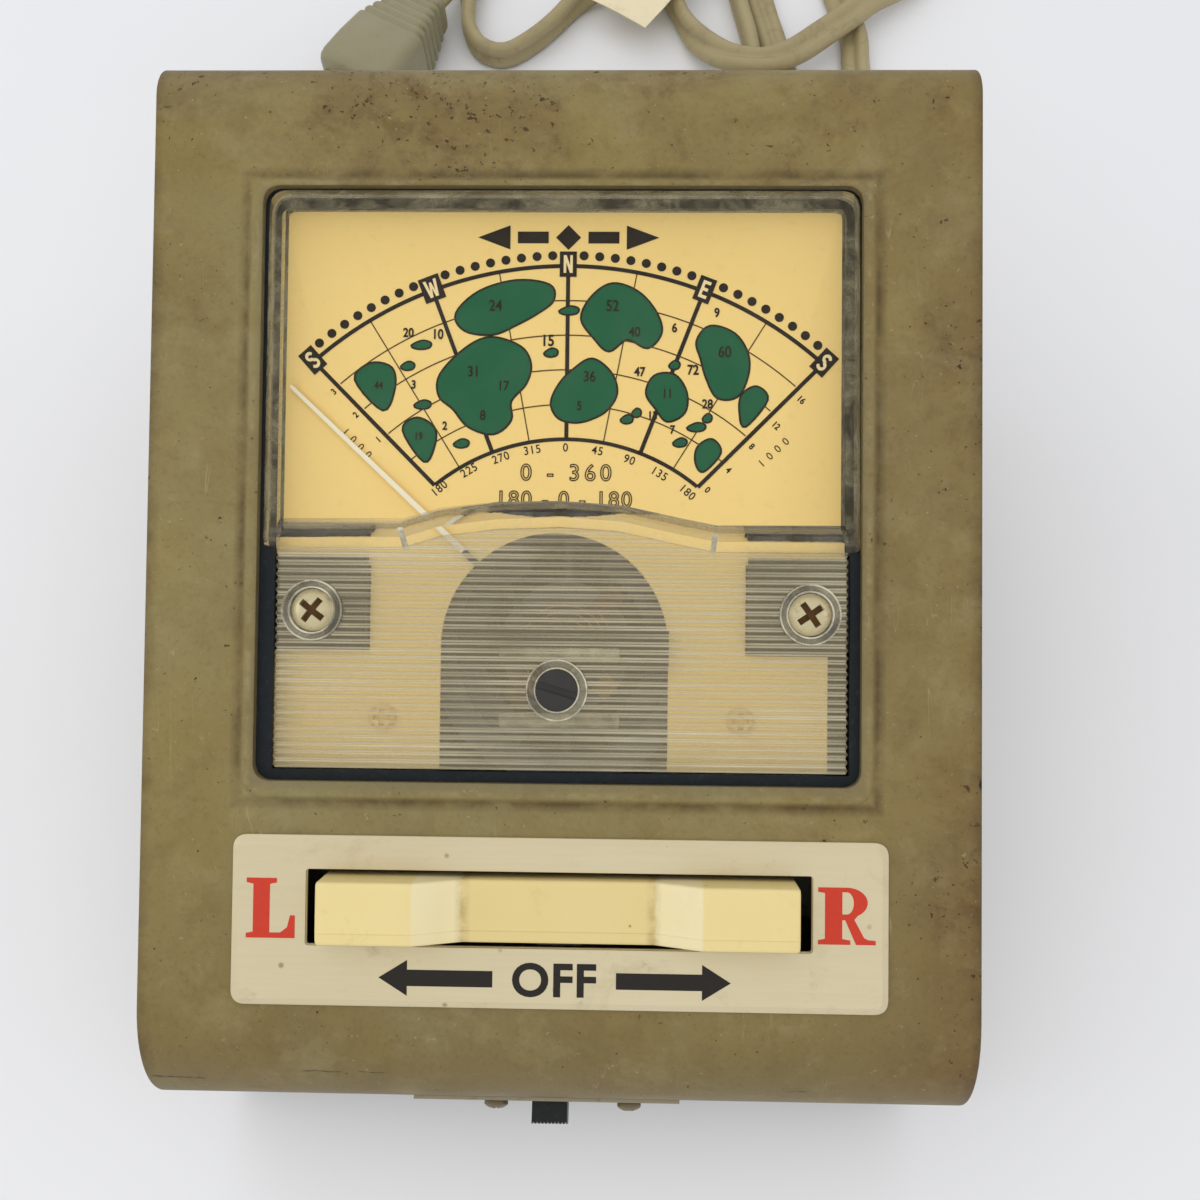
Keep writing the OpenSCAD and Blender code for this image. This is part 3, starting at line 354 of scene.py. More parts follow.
def ribbed_material():
    """Clear ribbed plastic: every rib carries a painted pale highlight streak over what lies below."""
    m = Mat("clear_ribbed", (0.6, 0.55, 0.4), 0.45, 0, 0.4)
    d = m.new("ShaderNodeVectorMath")
    d.operation = "DOT_PRODUCT"
    m.link(m.coord, d.inputs[0])
    d.inputs[1].default_value = (0.0, CS, SN)
    v = m.math("SUBTRACT", m.math("MULTIPLY", d.outputs["Value"], 1000.0), RIB_PHASE)
    k = m.math("FRACT", m.math("DIVIDE", v, 1.04))
    tri = m.math("ABSOLUTE", m.math("SUBTRACT", m.math("MULTIPLY", k, 2.0), 1.0))
    line = m.math("MULTIPLY", m.step(tri, 0.28, 0.50), m.math("SUBTRACT", 1.0, m.step(tri, 0.80, 1.0)))
    row = m.noise(1.0, 4, 0.7, 0, m.vec((16, 620, 620)))
    wide = m.noise(1.0, 3, 0.6, 0, m.vec((60, 110, 110), (0.3, 0.2, 0)))
    # painted highlight: the pale streak on each rib, also the share of the opaque layer
    rib_streak_highlight = m.math("MULTIPLY", line, m.ramp(row, [(0.34, 0.15), (0.64, 1.0)]))
    rib_streak_highlight = m.math("MULTIPLY", rib_streak_highlight, m.ramp(wide, [(0.32, 0.55), (0.66, 1.0)]))
    m.color(m.mix(rib_streak_highlight, lin(176, 164, 132), lin(214, 204, 174)))
    m.rough(0.4)
    tr = m.new("ShaderNodeBsdfTransparent")
    tr.inputs["Color"].default_value = (0.97, 0.96, 0.94, 1)
    mx = m.new("ShaderNodeMixShader")
    m.link(m.math("ADD", m.math("MULTIPLY", rib_streak_highlight, 0.64), 0.20), mx.inputs[0])
    m.link(tr.outputs[0], mx.inputs[1])
    m.link(m.b.outputs[0], mx.inputs[2])
    see_through(m, mx.outputs[0], 0.93)
    return m.m


RIB_PHASE = ((P1[0] + SHIFT) * CS + P1[1] * SN) + 31.5


def plate_material():
    """Satin aluminium, yellowed, with brown specks and finger marks."""
    m = Mat("label_aluminium", lin(214, 200, 162), 0.40, 0.25, 0.5)
    c = m.mix(m.noise(14, 5, 0.6), lin(204, 189, 148), lin(224, 211, 176))
    gr = m.noise(60, 5, 0.7, 0, m.vec((1, 26, 26)))
    c = m.mix(m.math("MULTIPLY", m.ramp(gr, [(0.4, 0.0), (0.7, 1.0)]), 0.15), c, lin(232, 224, 198))
    st = m.ramp(m.noise(52, 7, 0.75, 0.6), [(0.54, 0.0), (0.72, 1.0)])
    c = m.mix(m.math("MULTIPLY", st, 0.35), c, lin(160, 138, 92))
    v = m.voronoi(420)
    sp = m.math("MULTIPLY", m.math("SUBTRACT", 1.0, m.step(v.outputs["Distance"], 0.08, 0.2)), m.step(m.sep(v.outputs["Color"])[0], 0.93, 0.95))
    c = m.mix(m.math("MULTIPLY", sp, 0.6), c, lin(104, 80, 46))
    sm = m.ramp(m.noise(300, 6, 0.75, 0.3), [(0.56, 0.0), (0.66, 1.0)])
    c = m.mix(m.math("MULTIPLY", m.math("MULTIPLY", sm, st), 0.7), c, lin(122, 98, 58))
    m.color(c)
    m.rough(m.math("ADD", m.math("MULTIPLY", m.noise(80, 5, 0.7), 0.2), 0.32))
    m.bump(m.noise(260, 4, 0.6, 0, m.vec((1, 14, 14))), 0.06, 0.0001)
    m.bump(m.noise(1800, 2, 0.5), 0.10, 0.00006)
    return m.m


def ivory_material():
    m = Mat("ivory_plastic", lin(232, 212, 148), 0.33, 0, 0.5)
    m.b.inputs["Subsurface Weight"].default_value = 0.12
    m.b.inputs["Subsurface Radius"].default_value = (0.004, 0.003, 0.0015)
    m.b.inputs["Subsurface Scale"].default_value = 0.5
    c = m.mix(m.noise(28, 5, 0.6), lin(224, 201, 132), lin(238, 220, 160))
    st = m.ramp(m.noise(150, 7, 0.75, 0.5), [(0.58, 0.0), (0.74, 1.0)])
    c = m.mix(m.math("MULTIPLY", st, 0.35), c, lin(186, 156, 92))
    ax = m.math("ABSOLUTE", m.math("SUBTRACT", m.sep()[0], 0.00027))
    # painted highlight: the sloping faces between the pads and the middle are lighter
    slope = m.math("MULTIPLY", m.step(ax, 0.0124, 0.0127), m.math("SUBTRACT", 1.0, m.step(ax, 0.0183, 0.0186)))
    c = m.mix(m.math("MULTIPLY", slope, m.ramp(m.noise(90, 4), [(0.3, 0.35), (0.7, 0.75)])), c, lin(238, 228, 190))
    # painted shade: the sunken middle is darker
    mid = m.math("SUBTRACT", 1.0, m.step(ax, 0.0118, 0.0125))
    c = m.mix(m.math("MULTIPLY", mid, 0.35), c, lin(206, 182, 116))
    crease = m.math("SUBTRACT", 1.0, m.step(m.math("ABSOLUTE", m.math("SUBTRACT", ax, 0.0123)), 0.0001, 0.0011))
    c = m.mix(m.math("MULTIPLY", crease, m.ramp(m.noise(260, 5, 0.7), [(0.35, 0.1), (0.62, 0.6)])), c, lin(150, 118, 60))
    v = m.voronoi(520)
    sp = m.math("MULTIPLY", m.math("SUBTRACT", 1.0, m.step(v.outputs["Distance"], 0.05, 0.13)), m.step(m.sep(v.outputs["Color"])[0], 0.93, 0.95))
    c = m.mix(m.math("MULTIPLY", sp, 0.75), c, lin(120, 84, 40))
    m.color(c)
    m.rough(m.math("ADD", m.math("MULTIPLY", m.noise(120, 5), 0.2), 0.24))
    m.bump(m.noise(900, 3), 0.05, 0.00008)
    return m.m


def dial_material():
    m = Mat("dial_print", lin(224, 194, 126), 0.6, 0, 0.3)
    c = m.mix(m.noise(22, 4, 0.6), lin(240, 206, 126), lin(247, 216, 140))
    fine = m.ramp(m.noise(900, 3, 0.6), [(0.30, 1.0), (0.42, 0.0)])
    c = m.mix(m.math("MULTIPLY", fine, 0.08), c, lin(170, 140, 84))
    m.color(c)
    m.rough(m.math("ADD", m.math("MULTIPLY", m.noise(300, 3), 0.1), 0.55))
    return m.m


def ink(name, color, vary=0.25):
    m = Mat(name, color, 0.55, 0, 0.3)
    m.color(m.mix(m.noise(1300, 4, 0.6), tuple(x * (1 - vary) for x in color), tuple(min(1, x * (1 + vary)) for x in color)))
    m.rough(m.math("ADD", m.math("MULTIPLY", m.noise(600, 3), 0.15), 0.45))
    return m.m


def cord_material():
    m = Mat("cord_vinyl", lin(164, 150, 112), 0.45, 0, 0.45)
    c = m.mix(m.noise(60, 5, 0.6), lin(150, 135, 94), lin(176, 163, 124))
    st = m.ramp(m.noise(160, 7, 0.75, 0.7), [(0.52, 0.0), (0.72, 1.0)])
    c = m.mix(m.math("MULTIPLY", st, 0.5), c, lin(112, 92, 58))
    m.color(c)
    m.rough(m.math("ADD", m.math("MULTIPLY", m.noise(200, 4), 0.2), 0.34))
    m.bump(m.noise(900, 4), 0.12, 0.0001)
    return m.m


def plug_material():
    m = Mat("plug_vinyl", lin(170, 166, 140), 0.42, 0, 0.45)
    c = m.mix(m.noise(50, 5, 0.6), lin(132, 125, 92), lin(156, 150, 120))
    st = m.ramp(m.noise(220, 7, 0.75, 0.5), [(0.54, 0.0), (0.72, 1.0)])
    c = m.mix(m.math("MULTIPLY", st, 0.35), c, lin(118, 102, 68))
    m.color(c)
    m.rough(m.math("ADD", m.math("MULTIPLY", m.noise(160, 4), 0.2), 0.32))
    m.bump(m.noise(700, 4), 0.08, 0.0001)
    return m.m


M = {}
M["paint"] = paint_material()
M["plate"] = plate_material()
M["ivory"] = ivory_material()
M["dial"] = dial_material()
M["cord"] = cord_material()
M["plug"] = plug_material()
M["clear"] = clear_material("clear_plastic", (0.99, 0.985, 0.97), 0.03, 1.12, 0.006)
M["ribbed"] = ribbed_material()
# window walls: the strong beige veil is a painted reflection band
M["wall"] = clear_material("clear_wall", (0.93, 0.92, 0.86), 0.06, 1.30, 0.46, 0.2, (lin(128, 120, 94), lin(176, 166, 134)))
M["foot_wall"] = clear_material("clear_foot", (0.975, 0.97, 0.95), 0.05, 1.13, 0.07, 0.2)
# glint: painted highlight finish for thin strips and rings
M["glint"] = clear_material("clear_glint", (0.95, 0.95, 0.93), 0.1, 1.6, 0.42, 0.1, (lin(226, 218, 190), lin(246, 240, 222)))
M["well"] = clear_material("clear_well", (0.95, 0.94, 0.90), 0.08, 1.5, 0.30, 0.3, (lin(160, 150, 118), lin(206, 196, 164)))
M["side"] = simple("side_paint", lin(132, 116, 74), 0.45, 0, 0.10, 0.12, 0.0003, 60, (lin(84, 62, 34), 0.55))
M["zinc"] = simple("zinc_steel", lin(150, 146, 132), 0.42, 0.85, 0.12, 0.05, 0.0002, 120, (lin(96, 84, 60), 0.5))
M["screw"] = simple("screw_steel", lin(206, 200, 178), 0.28, 0.9, 0.10, 0.03, 0.00015, 300, (lin(104, 84, 48), 0.5))
M["cover_screw"] = simple("cover_screw", lin(222, 208, 164), 0.3, 0.55, 0.10, 0.03, 0.0001, 400, (lin(120, 94, 52), 0.5))
M["grime"] = simple("screw_grime", lin(84, 58, 26), 0.8, 0, 0.3, 0.2, 0, 900)
M["aged_screw"] = simple("aged_screw", lin(122, 110, 84), 0.4, 0.6, 0.18, 0.05, 0.00015, 500, (lin(84, 60, 36), 0.6))
M["rubber"] = simple("black_rubber", lin(40, 40, 42), 0.62, 0, 0.15, 0.12, 0.0003, 200, (lin(92, 86, 72), 0.35))
M["switch_plate"] = simple("switch_plate", lin(176, 166, 138), 0.38, 0.7, 0.10, 0.04, 0.0001, 200, (lin(110, 90, 54), 0.5))
M["phenolic"] = simple("brown_phenolic", lin(92, 58, 34), 0.5, 0, 0.2, 0.06, 0.0002, 300)
M["knob"] = simple("green_black_plastic", lin(15, 20, 16), 0.4, 0, 0.15, 0.03, 0.0001, 400, (lin(90, 86, 70), 0.25))
M["black"] = simple("black_plastic", lin(36, 35, 34), 0.45, 0, 0.12, 0.05, 0.0003, 160, (lin(96, 88, 72), 0.3))
M["red"] = simple("red_plastic", lin(170, 50, 36), 0.35, 0, 0.12, 0.03, 0.0002, 200)
M["foam"] = simple("gasket_foam", lin(22, 28, 31), 0.75, 0, 0.25, 0.25, 0.0002, 500, (lin(70, 72, 70), 0.3))
M["dark"] = simple("dark_plastic", lin(50, 48, 44), 0.15, 0, 0.2, 0.02, 0.0001, 300)
M["brass"] = simple("brass", lin(196, 164, 98), 0.32, 0.95, 0.12, 0.03, 0.0001, 300, (lin(104, 78, 40), 0.4))
M["needle"] = simple("needle_paint", lin(240, 230, 200), 0.4, 0, 0.04, 0, 0, 200)
M["copper"] = simple("copper_coil", lin(92, 56, 38), 0.4, 0.4, 0.15, 0.05, 0.0001, 300)
M["bronze"] = simple("bronze_spring", lin(190, 150, 96), 0.3, 0.9, 0.1, 0.02, 0, 300)
M["iron"] = simple("soft_iron", lin(120, 120, 124), 0.45, 0.8, 0.15, 0.08, 0.0003, 150)
M["magnet"] = simple("magnet", lin(78, 78, 84), 0.5, 0.6, 0.15, 0.08, 0.0003, 150)
M["bridge"] = simple("bridge_aluminium", lin(64, 62, 58), 0.45, 0.6, 0.1, 0.03, 0.0002, 200)
M["winding"] = simple("winding_tape", lin(196, 160, 84), 0.45, 0, 0.15, 0.08, 0.0004, 120, (lin(130, 96, 44), 0.5))
M["can"] = simple("capacitor_can", lin(166, 168, 170), 0.35, 0.9, 0.1, 0.03, 0.0004, 120, (lin(120, 116, 104), 0.4))
M["board"] = simple("board_laminate", lin(64, 104, 56), 0.42, 0, 0.15, 0.04, 0.0001, 200, (lin(40, 64, 34), 0.5))
M["blue"] = simple("blue_sleeve", lin(44, 70, 130), 0.35, 0, 0.12, 0.03, 0.0004, 200)
M["paper"] = simple("tag_paper", lin(236, 222, 186), 0.8, 0, 0.06, 0.10, 0, 120, (lin(190, 166, 118), 0.4))
M["fuse"] = clear_material("fuse_glass", (0.9, 0.93, 0.92), 0.03, 1.4)
M["dial_paint"] = simple("dial_paint", lin(238, 205, 126), 0.5, 0.1, 0.08, 0.02, 0.0001, 200)
M["ink"] = ink("print_black", lin(40, 32, 24))
M["ink_thin"] = ink("print_brown", lin(74, 52, 22))
M["green"] = ink("print_green", lin(24, 92, 58), 0.12)
M["cream"] = ink("print_cream", lin(236, 214, 160), 0.05)
M["red_ink"] = ink("print_red", lin(200, 58, 36), 0.10)
M["black_ink"] = ink("plate_black", lin(38, 34, 28), 0.2)


# ------------------------------------------------------------ mesh helpers
def make(name, verts, faces, mat, body="case", angle=32, uv=None):
    me = bpy.data.meshes.new(name)
    me.from_pydata(np.asarray(verts, float).tolist(), [], [list(map(int, f)) for f in faces])
    me.validate()
    bm = bmesh.new()
    bm.from_mesh(me)
    bmesh.ops.recalc_face_normals(bm, faces=bm.faces)
    bm.to_mesh(me)
    bm.free()
    me.update()
    if uv is not None:
        layer = me.uv_layers.new(name="sheet")
        idx = np.zeros(len(me.loops), int)
        me.loops.foreach_get("vertex_index", idx)
        layer.data.foreach_set("uv", np.asarray(uv, np.float32)[idx].ravel())
    o = bpy.data.objects.new(name, me)
    scene.collection.objects.link(o)
    me.materials.append(mat)
    smooth(o, angle)
    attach(o, body)
    return o


def smooth(o, angle):
    me = o.data
    if angle:
        me.polygons.foreach_set("use_smooth", [True] * len(me.polygons))
        me.set_sharp_from_angle(angle=math.radians(angle))
    me.update()


def rings_to_mesh(rings, cap=(True, True), wrap=True):
    """Quads between rings of equal length, with flat caps."""
    rings = [np.asarray(r, float) for r in rings]
    m = len(rings[0])
    verts = np.concatenate(rings)
    faces = []
    for i in range(len(rings) - 1):
        for k in range(m if wrap else m - 1):
            a, b = i * m + k, i * m + (k + 1) % m
            faces.append((a, b, b + m, a + m))
    if cap[0]:
        faces.append(list(range(m))[::-1])
    if cap[1]:
        faces.append([(len(rings) - 1) * m + k for k in range(m)])
    return verts, faces


def round_poly(pts, radii, k=6):
    """Rounds the corners of a polygon: every corner gives k + 1 points."""
    out = []
    m = len(pts)
    for i in range(m):
        a, b, c = (np.array(pts[j % m], float) for j in (i - 1, i, i + 1))
        r = radii[i] if hasattr(radii, "__len__") else radii
        d1, d2 = (a - b) / np.linalg.norm(a - b), (c - b) / np.linalg.norm(c - b)
        ang = math.acos(max(-1, min(1, float(d1 @ d2))))
        if r <= 0 or ang > math.pi - 0.01:
            out += [b] * (k + 1) if r > 0 else [b]
            continue
        t = min(r / math.tan(ang / 2), 0.49 * np.linalg.norm(a - b), 0.49 * np.linalg.norm(c - b))
        p, q = b + d1 * t, b + d2 * t
        for j in range(k + 1):
            w = j / k
            out.append((1 - w) ** 2 * p + 2 * w * (1 - w) * b + w * w * q)
    return np.array(out)


def inset(poly, d):
    """Moves a closed outline inwards by d along its corner normals (counter-clockwise outline)."""
    p = np.asarray(poly, float)
    e = np.roll(p, -1, 0) - p
    L = np.linalg.norm(e, axis=1)
    L[L < 1e-9] = 1e-9
    n = np.stack([-e[:, 1], e[:, 0]], 1) / L[:, None]
    n0 = np.roll(n, 1, 0)
    dot = 1 + (n * n0).sum(1)
    return p + (n + n0) * (d / np.maximum(dot, 0.35))[:, None]


def rect(x0, x1, y0, y1):
    return [(x0, y0), (x1, y0), (x1, y1), (x0, y1)]


def flat3(p, z):
    p = np.asarray(p, float)
    return np.column_stack([p, np.full(len(p), z)])


def slab(name, outline, z0, z1, mat, bevel=0.0, steps=3, holes=(), place=panel, body="case", angle=32, bottom_bevel=0.0):
    """An outline extruded from z0 to z1 with rounded top edges, and holes with rounded rims."""
    verts, faces, loops_top, loops_bot = [], [], [], []
    for hi, o in enumerate([outline, *holes]):
        sgn = 1 if hi == 0 else -1
        rr = []
        if bottom_bevel:
            for j in range(steps + 1):
                a = math.pi / 2 * j / steps
                rr.append(flat3(inset(o, sgn * bottom_bevel * (1 - math.sin(a))), z0 + bottom_bevel * (1 - math.cos(a))))
        else:
            rr.append(flat3(o, z0))
        if isinstance(bevel, tuple):
            w = bevel[0] if hi == 0 else 0.12
            rr += [flat3(inset(o, 0.0), z1 - bevel[1] - 0.05), flat3(inset(o, sgn * 0.06), z1 - bevel[1]), flat3(inset(o, sgn * w), z1)]
        elif bevel:
            for j in range(steps + 1):
                a = math.pi / 2 * j / steps
                rr.append(flat3(inset(o, sgn * bevel * (1 - math.cos(a))), z1 - bevel + bevel * math.sin(a)))
        else:
            rr.append(flat3(o, z1))
        base = sum(len(v) for v in verts)
        v, f = rings_to_mesh(rr, (False, False))
        faces += [[base + i for i in q] for q in f]
        verts.append(v)
        m = len(o)
        loops_bot.append([base + i for i in range(m)])
        loops_top.append([base + (len(rr) - 1) * m + i for i in range(m)])
    verts = np.concatenate(verts)
    for loops in (loops_top, loops_bot):
        if len(loops) == 1:
            faces.append(loops[0])
        else:
            flatlist = [i for lp in loops for i in lp]
            tri = tessellate_polygon([[Vector((verts[i][0], verts[i][1], 0)) for i in lp] for lp in loops])
            faces += [[flatlist[a] for a in t] for t in tri]
    return make(name, place(verts), faces, mat, body, angle)


def cut(o, *cutters, op="DIFFERENCE"):
    """Applies boolean operations, keeping the piece's own name and finish."""
    for c in cutters:
        md = o.modifiers.new("cut", "BOOLEAN")
        md.operation, md.solver, md.object = op, "EXACT", c
    dg = bpy.context.evaluated_depsgraph_get()
    me = bpy.data.meshes.new_from_object(o.evaluated_get(dg))
    o.modifiers.clear()
    old = o.data
    mats = list(old.materials)
    o.data = me
    me.materials.clear()
    for mt in mats:
        me.materials.append(mt)
    me.polygons.foreach_set("material_index", [0] * len(me.polygons))
    me.name = o.name
    bpy.data.meshes.remove(old)
    for c in cutters:
        cm = c.data
        bpy.data.objects.remove(c)
        bpy.data.meshes.remove(cm)
    return o


def prism(outline, z0, z1, place=panel):
    """A plain cutter."""
    v, f = rings_to_mesh([flat3(outline, z0), flat3(outline, z1)])
    me = bpy.data.meshes.new("cutter")
    me.from_pydata(place(v).tolist(), [], f)
    bm = bmesh.new()
    bm.from_mesh(me)
    bmesh.ops.recalc_face_normals(bm, faces=bm.faces)
    bm.to_mesh(me)
    bm.free()
    o = bpy.data.objects.new("cutter", me)
    scene.collection.objects.link(o)
    return o


def circle(x, y, r, m=48):
    return [(x + r * math.cos(2 * math.pi * i / m), y + r * math.sin(2 * math.pi * i / m)) for i in range(m)]


def lathe(profile, cx, cy, m=48):
    """Rings of a turned shape about an axis out of the panel: profile is (radius, height)."""
    t = np.arange(m) * 2 * math.pi / m
    return [np.column_stack([cx + r * np.cos(t), cy + r * np.sin(t), np.full(m, z)]) for r, z in profile]


def turned(name, profile, cx, cy, mat, place=panel, body="case", m=48, angle=32):
    v, f = rings_to_mesh(lathe(profile, cx, cy, m))
    return make(name, place(v), f, mat, body, angle)


# ------------------------------------------------------------ mains lead
LEAD = [[42, 130, 24, 0], [42, 144, 24, 0], [42, 156, 24, 0], [42, 168, 22.6, 0], [42, 180, 18, 0],
        [42, 191, 11, 0], [41.5, 200, 5, 0], [40.5, 209, 1.9, 0], [38.5, 218, 1.7, 0], [36.5, 227, 1.7, 0],
        [34.5, 239, 2, 20], [33.5, 251, 3, 60], [33.5, 263, 3.2, 90], [34.5, 275, 3.2, 90], [36.5, 288, 3.2, 90],
        [39.5, 301, 3.2, 90], [41.8, 311, 3.2, 90], [43, 321, 3.2, 90]]
TAIL = [[-28.4, 331, 5, 40], [-27.8, 319, 8.2, 0], [-24, 307, 8.2, 0], [-16.5, 296.5, 8.2, 0], [-6, 288, 8.2, 0],
        [4, 283.5, 7, 20], [14, 280.5, 4.4, 60], [23, 275, 3.2, 90], [28.5, 266, 3.2, 90], [29.5, 253, 3.2, 90],
        [29.5, 240, 3.2, 90], [31.5, 227, 3.2, 90], [34, 214, 3.2, 90], [34.5, 203, 3.2, 90], [31.5, 193, 3.2, 90],
        [33.5, 183, 3.2, 90], [42.5, 177, 3.2, 90], [52, 180, 3.2, 90], [57, 189, 3.2, 90], [57, 200, 2.9, 50],
        [56.5, 209, 2.2, 30], [56.5, 217, 2.2, 30], [54.5, 225, 2.2, 30], [52, 234, 3.1, 60], [51, 244, 3.2, 90],
        [54.5, 254, 3.2, 90], [63, 259.5, 3.2, 90], [72.5, 256.5, 3.2, 90], [76.5, 247.5, 3.2, 80], [74, 237.5, 4, 60],
        [68, 230.5, 4.8, 40], [60.5, 225, 5.6, 15], [54.4, 219.1, 6.1, 10], [48.8, 214, 6.6, 10], [43.2, 208.9, 7.3, 10],
        [37.6, 205.6, 8.2, 0], [32.4, 205.6, 8.2, 0], [27.2, 208.6, 6.6, 20], [22.4, 215, 4.2, 60], [19, 222, 3.2, 90],
        [16, 230, 3.1, 60], [10.5, 239, 1.9, 12], [3, 247, 2.6, 40], [-1.5, 257, 3.2, 80], [0.5, 268, 3.2, 90],
        [9, 274, 3.2, 90], [18.5, 272, 3.2, 90], [23.5, 263, 3.2, 90], [22, 253, 3.8, 60], [16, 245, 5, 25],
        [9.5, 238.5, 5.5, 10], [2.5, 232, 4.4, 45], [-4, 227, 3.3, 80], [-9, 220.5, 3.2, 90], [-14, 215.2, 3.2, 90],
        [-19.5, 211.6, 3.2, 90], [-24.8, 213.4, 3.2, 90], [-27.8, 219.5, 3.2, 90], [-28.2, 227.5, 3.1, 70],
        [-28.8, 235, 1.9, 15], [-32, 245, 2.6, 40], [-37, 256, 3.2, 80], [-37.5, 267, 3.2, 90], [-30, 275.5, 3.2, 90],
        [-19.5, 275, 3.2, 90], [-13, 266.5, 3.2, 90], [-14.5, 255.5, 4.2, 60], [-21, 245.5, 4.8, 20],
        [-28.5, 236, 5.6, 5], [-32.5, 227.8, 6.9, 0], [-36, 221.7, 7.5, 0], [-39.5, 215.6, 7.5, 0]]


def spiral_points():
    r0, a0 = math.hypot(43, 9), math.atan2(-9, 43)
    a1 = math.radians(180 + 360 * 4)
    n = 196
    out = []
    for i in range(1, n):
        w = i / n
        a = a0 + (a1 - a0) * w
        r = r0 + (28.4 - r0) * w
        k = max(0.0, (a - (a1 - math.radians(60))) / math.radians(60))
        out.append([r * math.cos(a), 330 + r * math.sin(a), 3.2 + 1.8 * k * k, 90 - 50 * k])
    return out


def catmull(p, step=1.9):
    p = np.asarray(p, float)
    q = np.vstack([2 * p[0] - p[1], p, 2 * p[-1] - p[-2]])
    out = []
    for i in range(1, len(q) - 2):
        a, b, c, d = q[i - 1], q[i], q[i + 1], q[i + 2]
        k = max(1, int(round(np.linalg.norm((c - b)[:3]) / step)))
        for j in range(k):
            t = j / k
            out.append(0.5 * (2 * b + (c - a) * t + (2 * a - 5 * b + 4 * c - d) * t * t + (3 * b - a - 3 * c + d) * t ** 3))
    out.append(p[-1])
    return np.array(out)


def half_height(roll):
    a = np.radians(roll)
    return np.maximum(1.55 * np.abs(np.sin(a)) + 1.55, 1.55) + 0.0 * a


route = catmull(LEAD + spiral_points() + TAIL)
# the section's lowest point stays on the table
need = 1.55 + 1.55 * np.abs(np.sin(np.radians(route[:, 3])))
route[:, 2] = np.maximum(route[:, 2], need)
_th = []
for xk in (3.1, 3.03, 2.8, 2.4, 1.9, 1.4, 0.95, 0.6, 0.3, 0.0):
    lobe = math.sqrt(max(0.0, 1.55 ** 2 - (abs(xk) - 1.55) ** 2))
    yk = max(lobe, 0.98 + 0.25 * min(1, abs(xk) / 0.6) ** 2 if abs(xk) < 1.0 else 0.0)
    _th.append((xk, yk))
half = _th + [(-a, b) for a, b in _th[-2::-1]]
SECTION = np.array(half + [(a, -b) for a, b in half[-2:0:-1]])


def sweep_flat(pts, sec):
    rings = []
    m = len(pts)
    for i in range(m):
        d = pts[min(i + 1, m - 1), :3] - pts[max(i - 1, 0), :3]
        d /= np.linalg.norm(d)
        s = np.cross(d, (0, 0, 1))
        s /= np.linalg.norm(s)
        u = np.cross(s, d)
        a = math.radians(pts[i, 3])
        x, y = sec[:, 0], sec[:, 1]
        rings.append(pts[i, :3] + np.outer(x * math.cos(a) - y * math.sin(a), s) + np.outer(x * math.sin(a) + y * math.cos(a), u))
    return rings


v, f = rings_to_mesh(sweep_flat(route[7:], SECTION))
lead = make("mains_lead", raw(v), f, M["cord"], angle=50)
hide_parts("mains_cord_lead", "mains_cord_coil", "mains_cord_tail")

# plug: a moulded body that narrows towards the lead, with grip ribs
PA = math.radians(60)


def plug_place(p):
    p = np.asarray(p, float)
    x, y, z = p[..., 0], p[..., 1], p[..., 2]
    return raw(np.stack([-43 + x * math.cos(PA) - y * math.sin(PA), 209.5 + x * math.sin(PA) + y * math.cos(PA), z], -1))


def rsec(x, hw, z0, z1, r, k=5):
    o = round_poly(rect(-hw, hw, z0, z1), r, k)
    return np.column_stack([np.full(len(o), x), o])


rings = []
stations = [(-14.0, 7.6, 1.4, 13.6, 2.2), (-13.7, 8.3, 0.7, 14.3, 2.6), (-13.0, 8.7, 0.25, 14.75, 2.9), (-11.5, 8.95, 0.05, 14.95, 3.0),
            (-6, 8.8, 0.03, 14.95, 3.0), (-1.0, 8.4, 0.03, 14.8, 3.0)]
for x in np.arange(0.0, 11.6, 0.3):
    w = x / 11.5
    hw = 8.3 - 3.3 * w
    zz = 14.6 - 2.4 * w ** 1.3
    g = 0.55 * (0.5 - 0.5 * math.cos(2 * math.pi * x / 2.1)) ** 2
    stations.append((x, hw - g, 0.05 + 2.4 * w ** 1.6 + g * 0.5, zz - g * 0.8, 2.6 - 0.9 * w))
stations += [(12.0, 4.9, 2.7, 12.1, 1.8), (13.2, 4.7, 2.9, 11.9, 1.9), (13.8, 4.3, 3.3, 11.5, 1.8), (14.0, 3.9, 3.7, 11.1, 1.6)]
rings = [rsec(*s) for s in stations]
v, f = rings_to_mesh(rings)
plug = make("plug_moulding", plug_place(v), f, M["plug"], angle=45)
slotc = prism(round_poly(rect(6.0, 16.0, -3.25, 3.25), 0.8, 3), 5.85, 9.15, plug_place)
cut(plug, slotc)
smooth(plug, 45)
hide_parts("plug_body")

# blank card tag lying on the strands, slightly curled
tv, tf = [], []
nx, ny = 24, 12
for top in (1, 0):
    for i in range(nx + 1):
        for j in range(ny + 1):
            a, b = 30 * i / nx, 15 * j / ny
            z = 7.45 + 0.5 * ((a - 15) / 15) ** 2 + 0.25 * math.sin(b / 15 * math.pi) * 1.0
            ca, sa = math.cos(math.radians(56)), math.sin(math.radians(56))
            tv.append((10.9 + a * ca - b * sa, 214.4 + a * sa + b * ca, z + 0.25 * top))
W = ny + 1
off = (nx + 1) * W
for i in range(nx):
    for j in range(ny):
        q = [i * W + j, (i + 1) * W + j, (i + 1) * W + j + 1, i * W + j + 1]
        tf.append(q)
        tf.append([off + k for k in q[::-1]])
edge = [i * W for i in range(nx)] + [nx * W + j for j in range(ny)] + [i * W + ny for i in range(nx, 0, -1)] + [j for j in range(ny, 0, -1)]
for a, b in zip(edge, edge[1:] + edge[:1]):
    tf.append([a, b, off + b, off + a])
tag = make("blank_tag", raw(np.array(tv)), tf, M["paper"], angle=50)
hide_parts("cord_tag")
NODES["plug_blades"].data.materials.clear()
NODES["plug_blades"].data.materials.append(M["brass"])


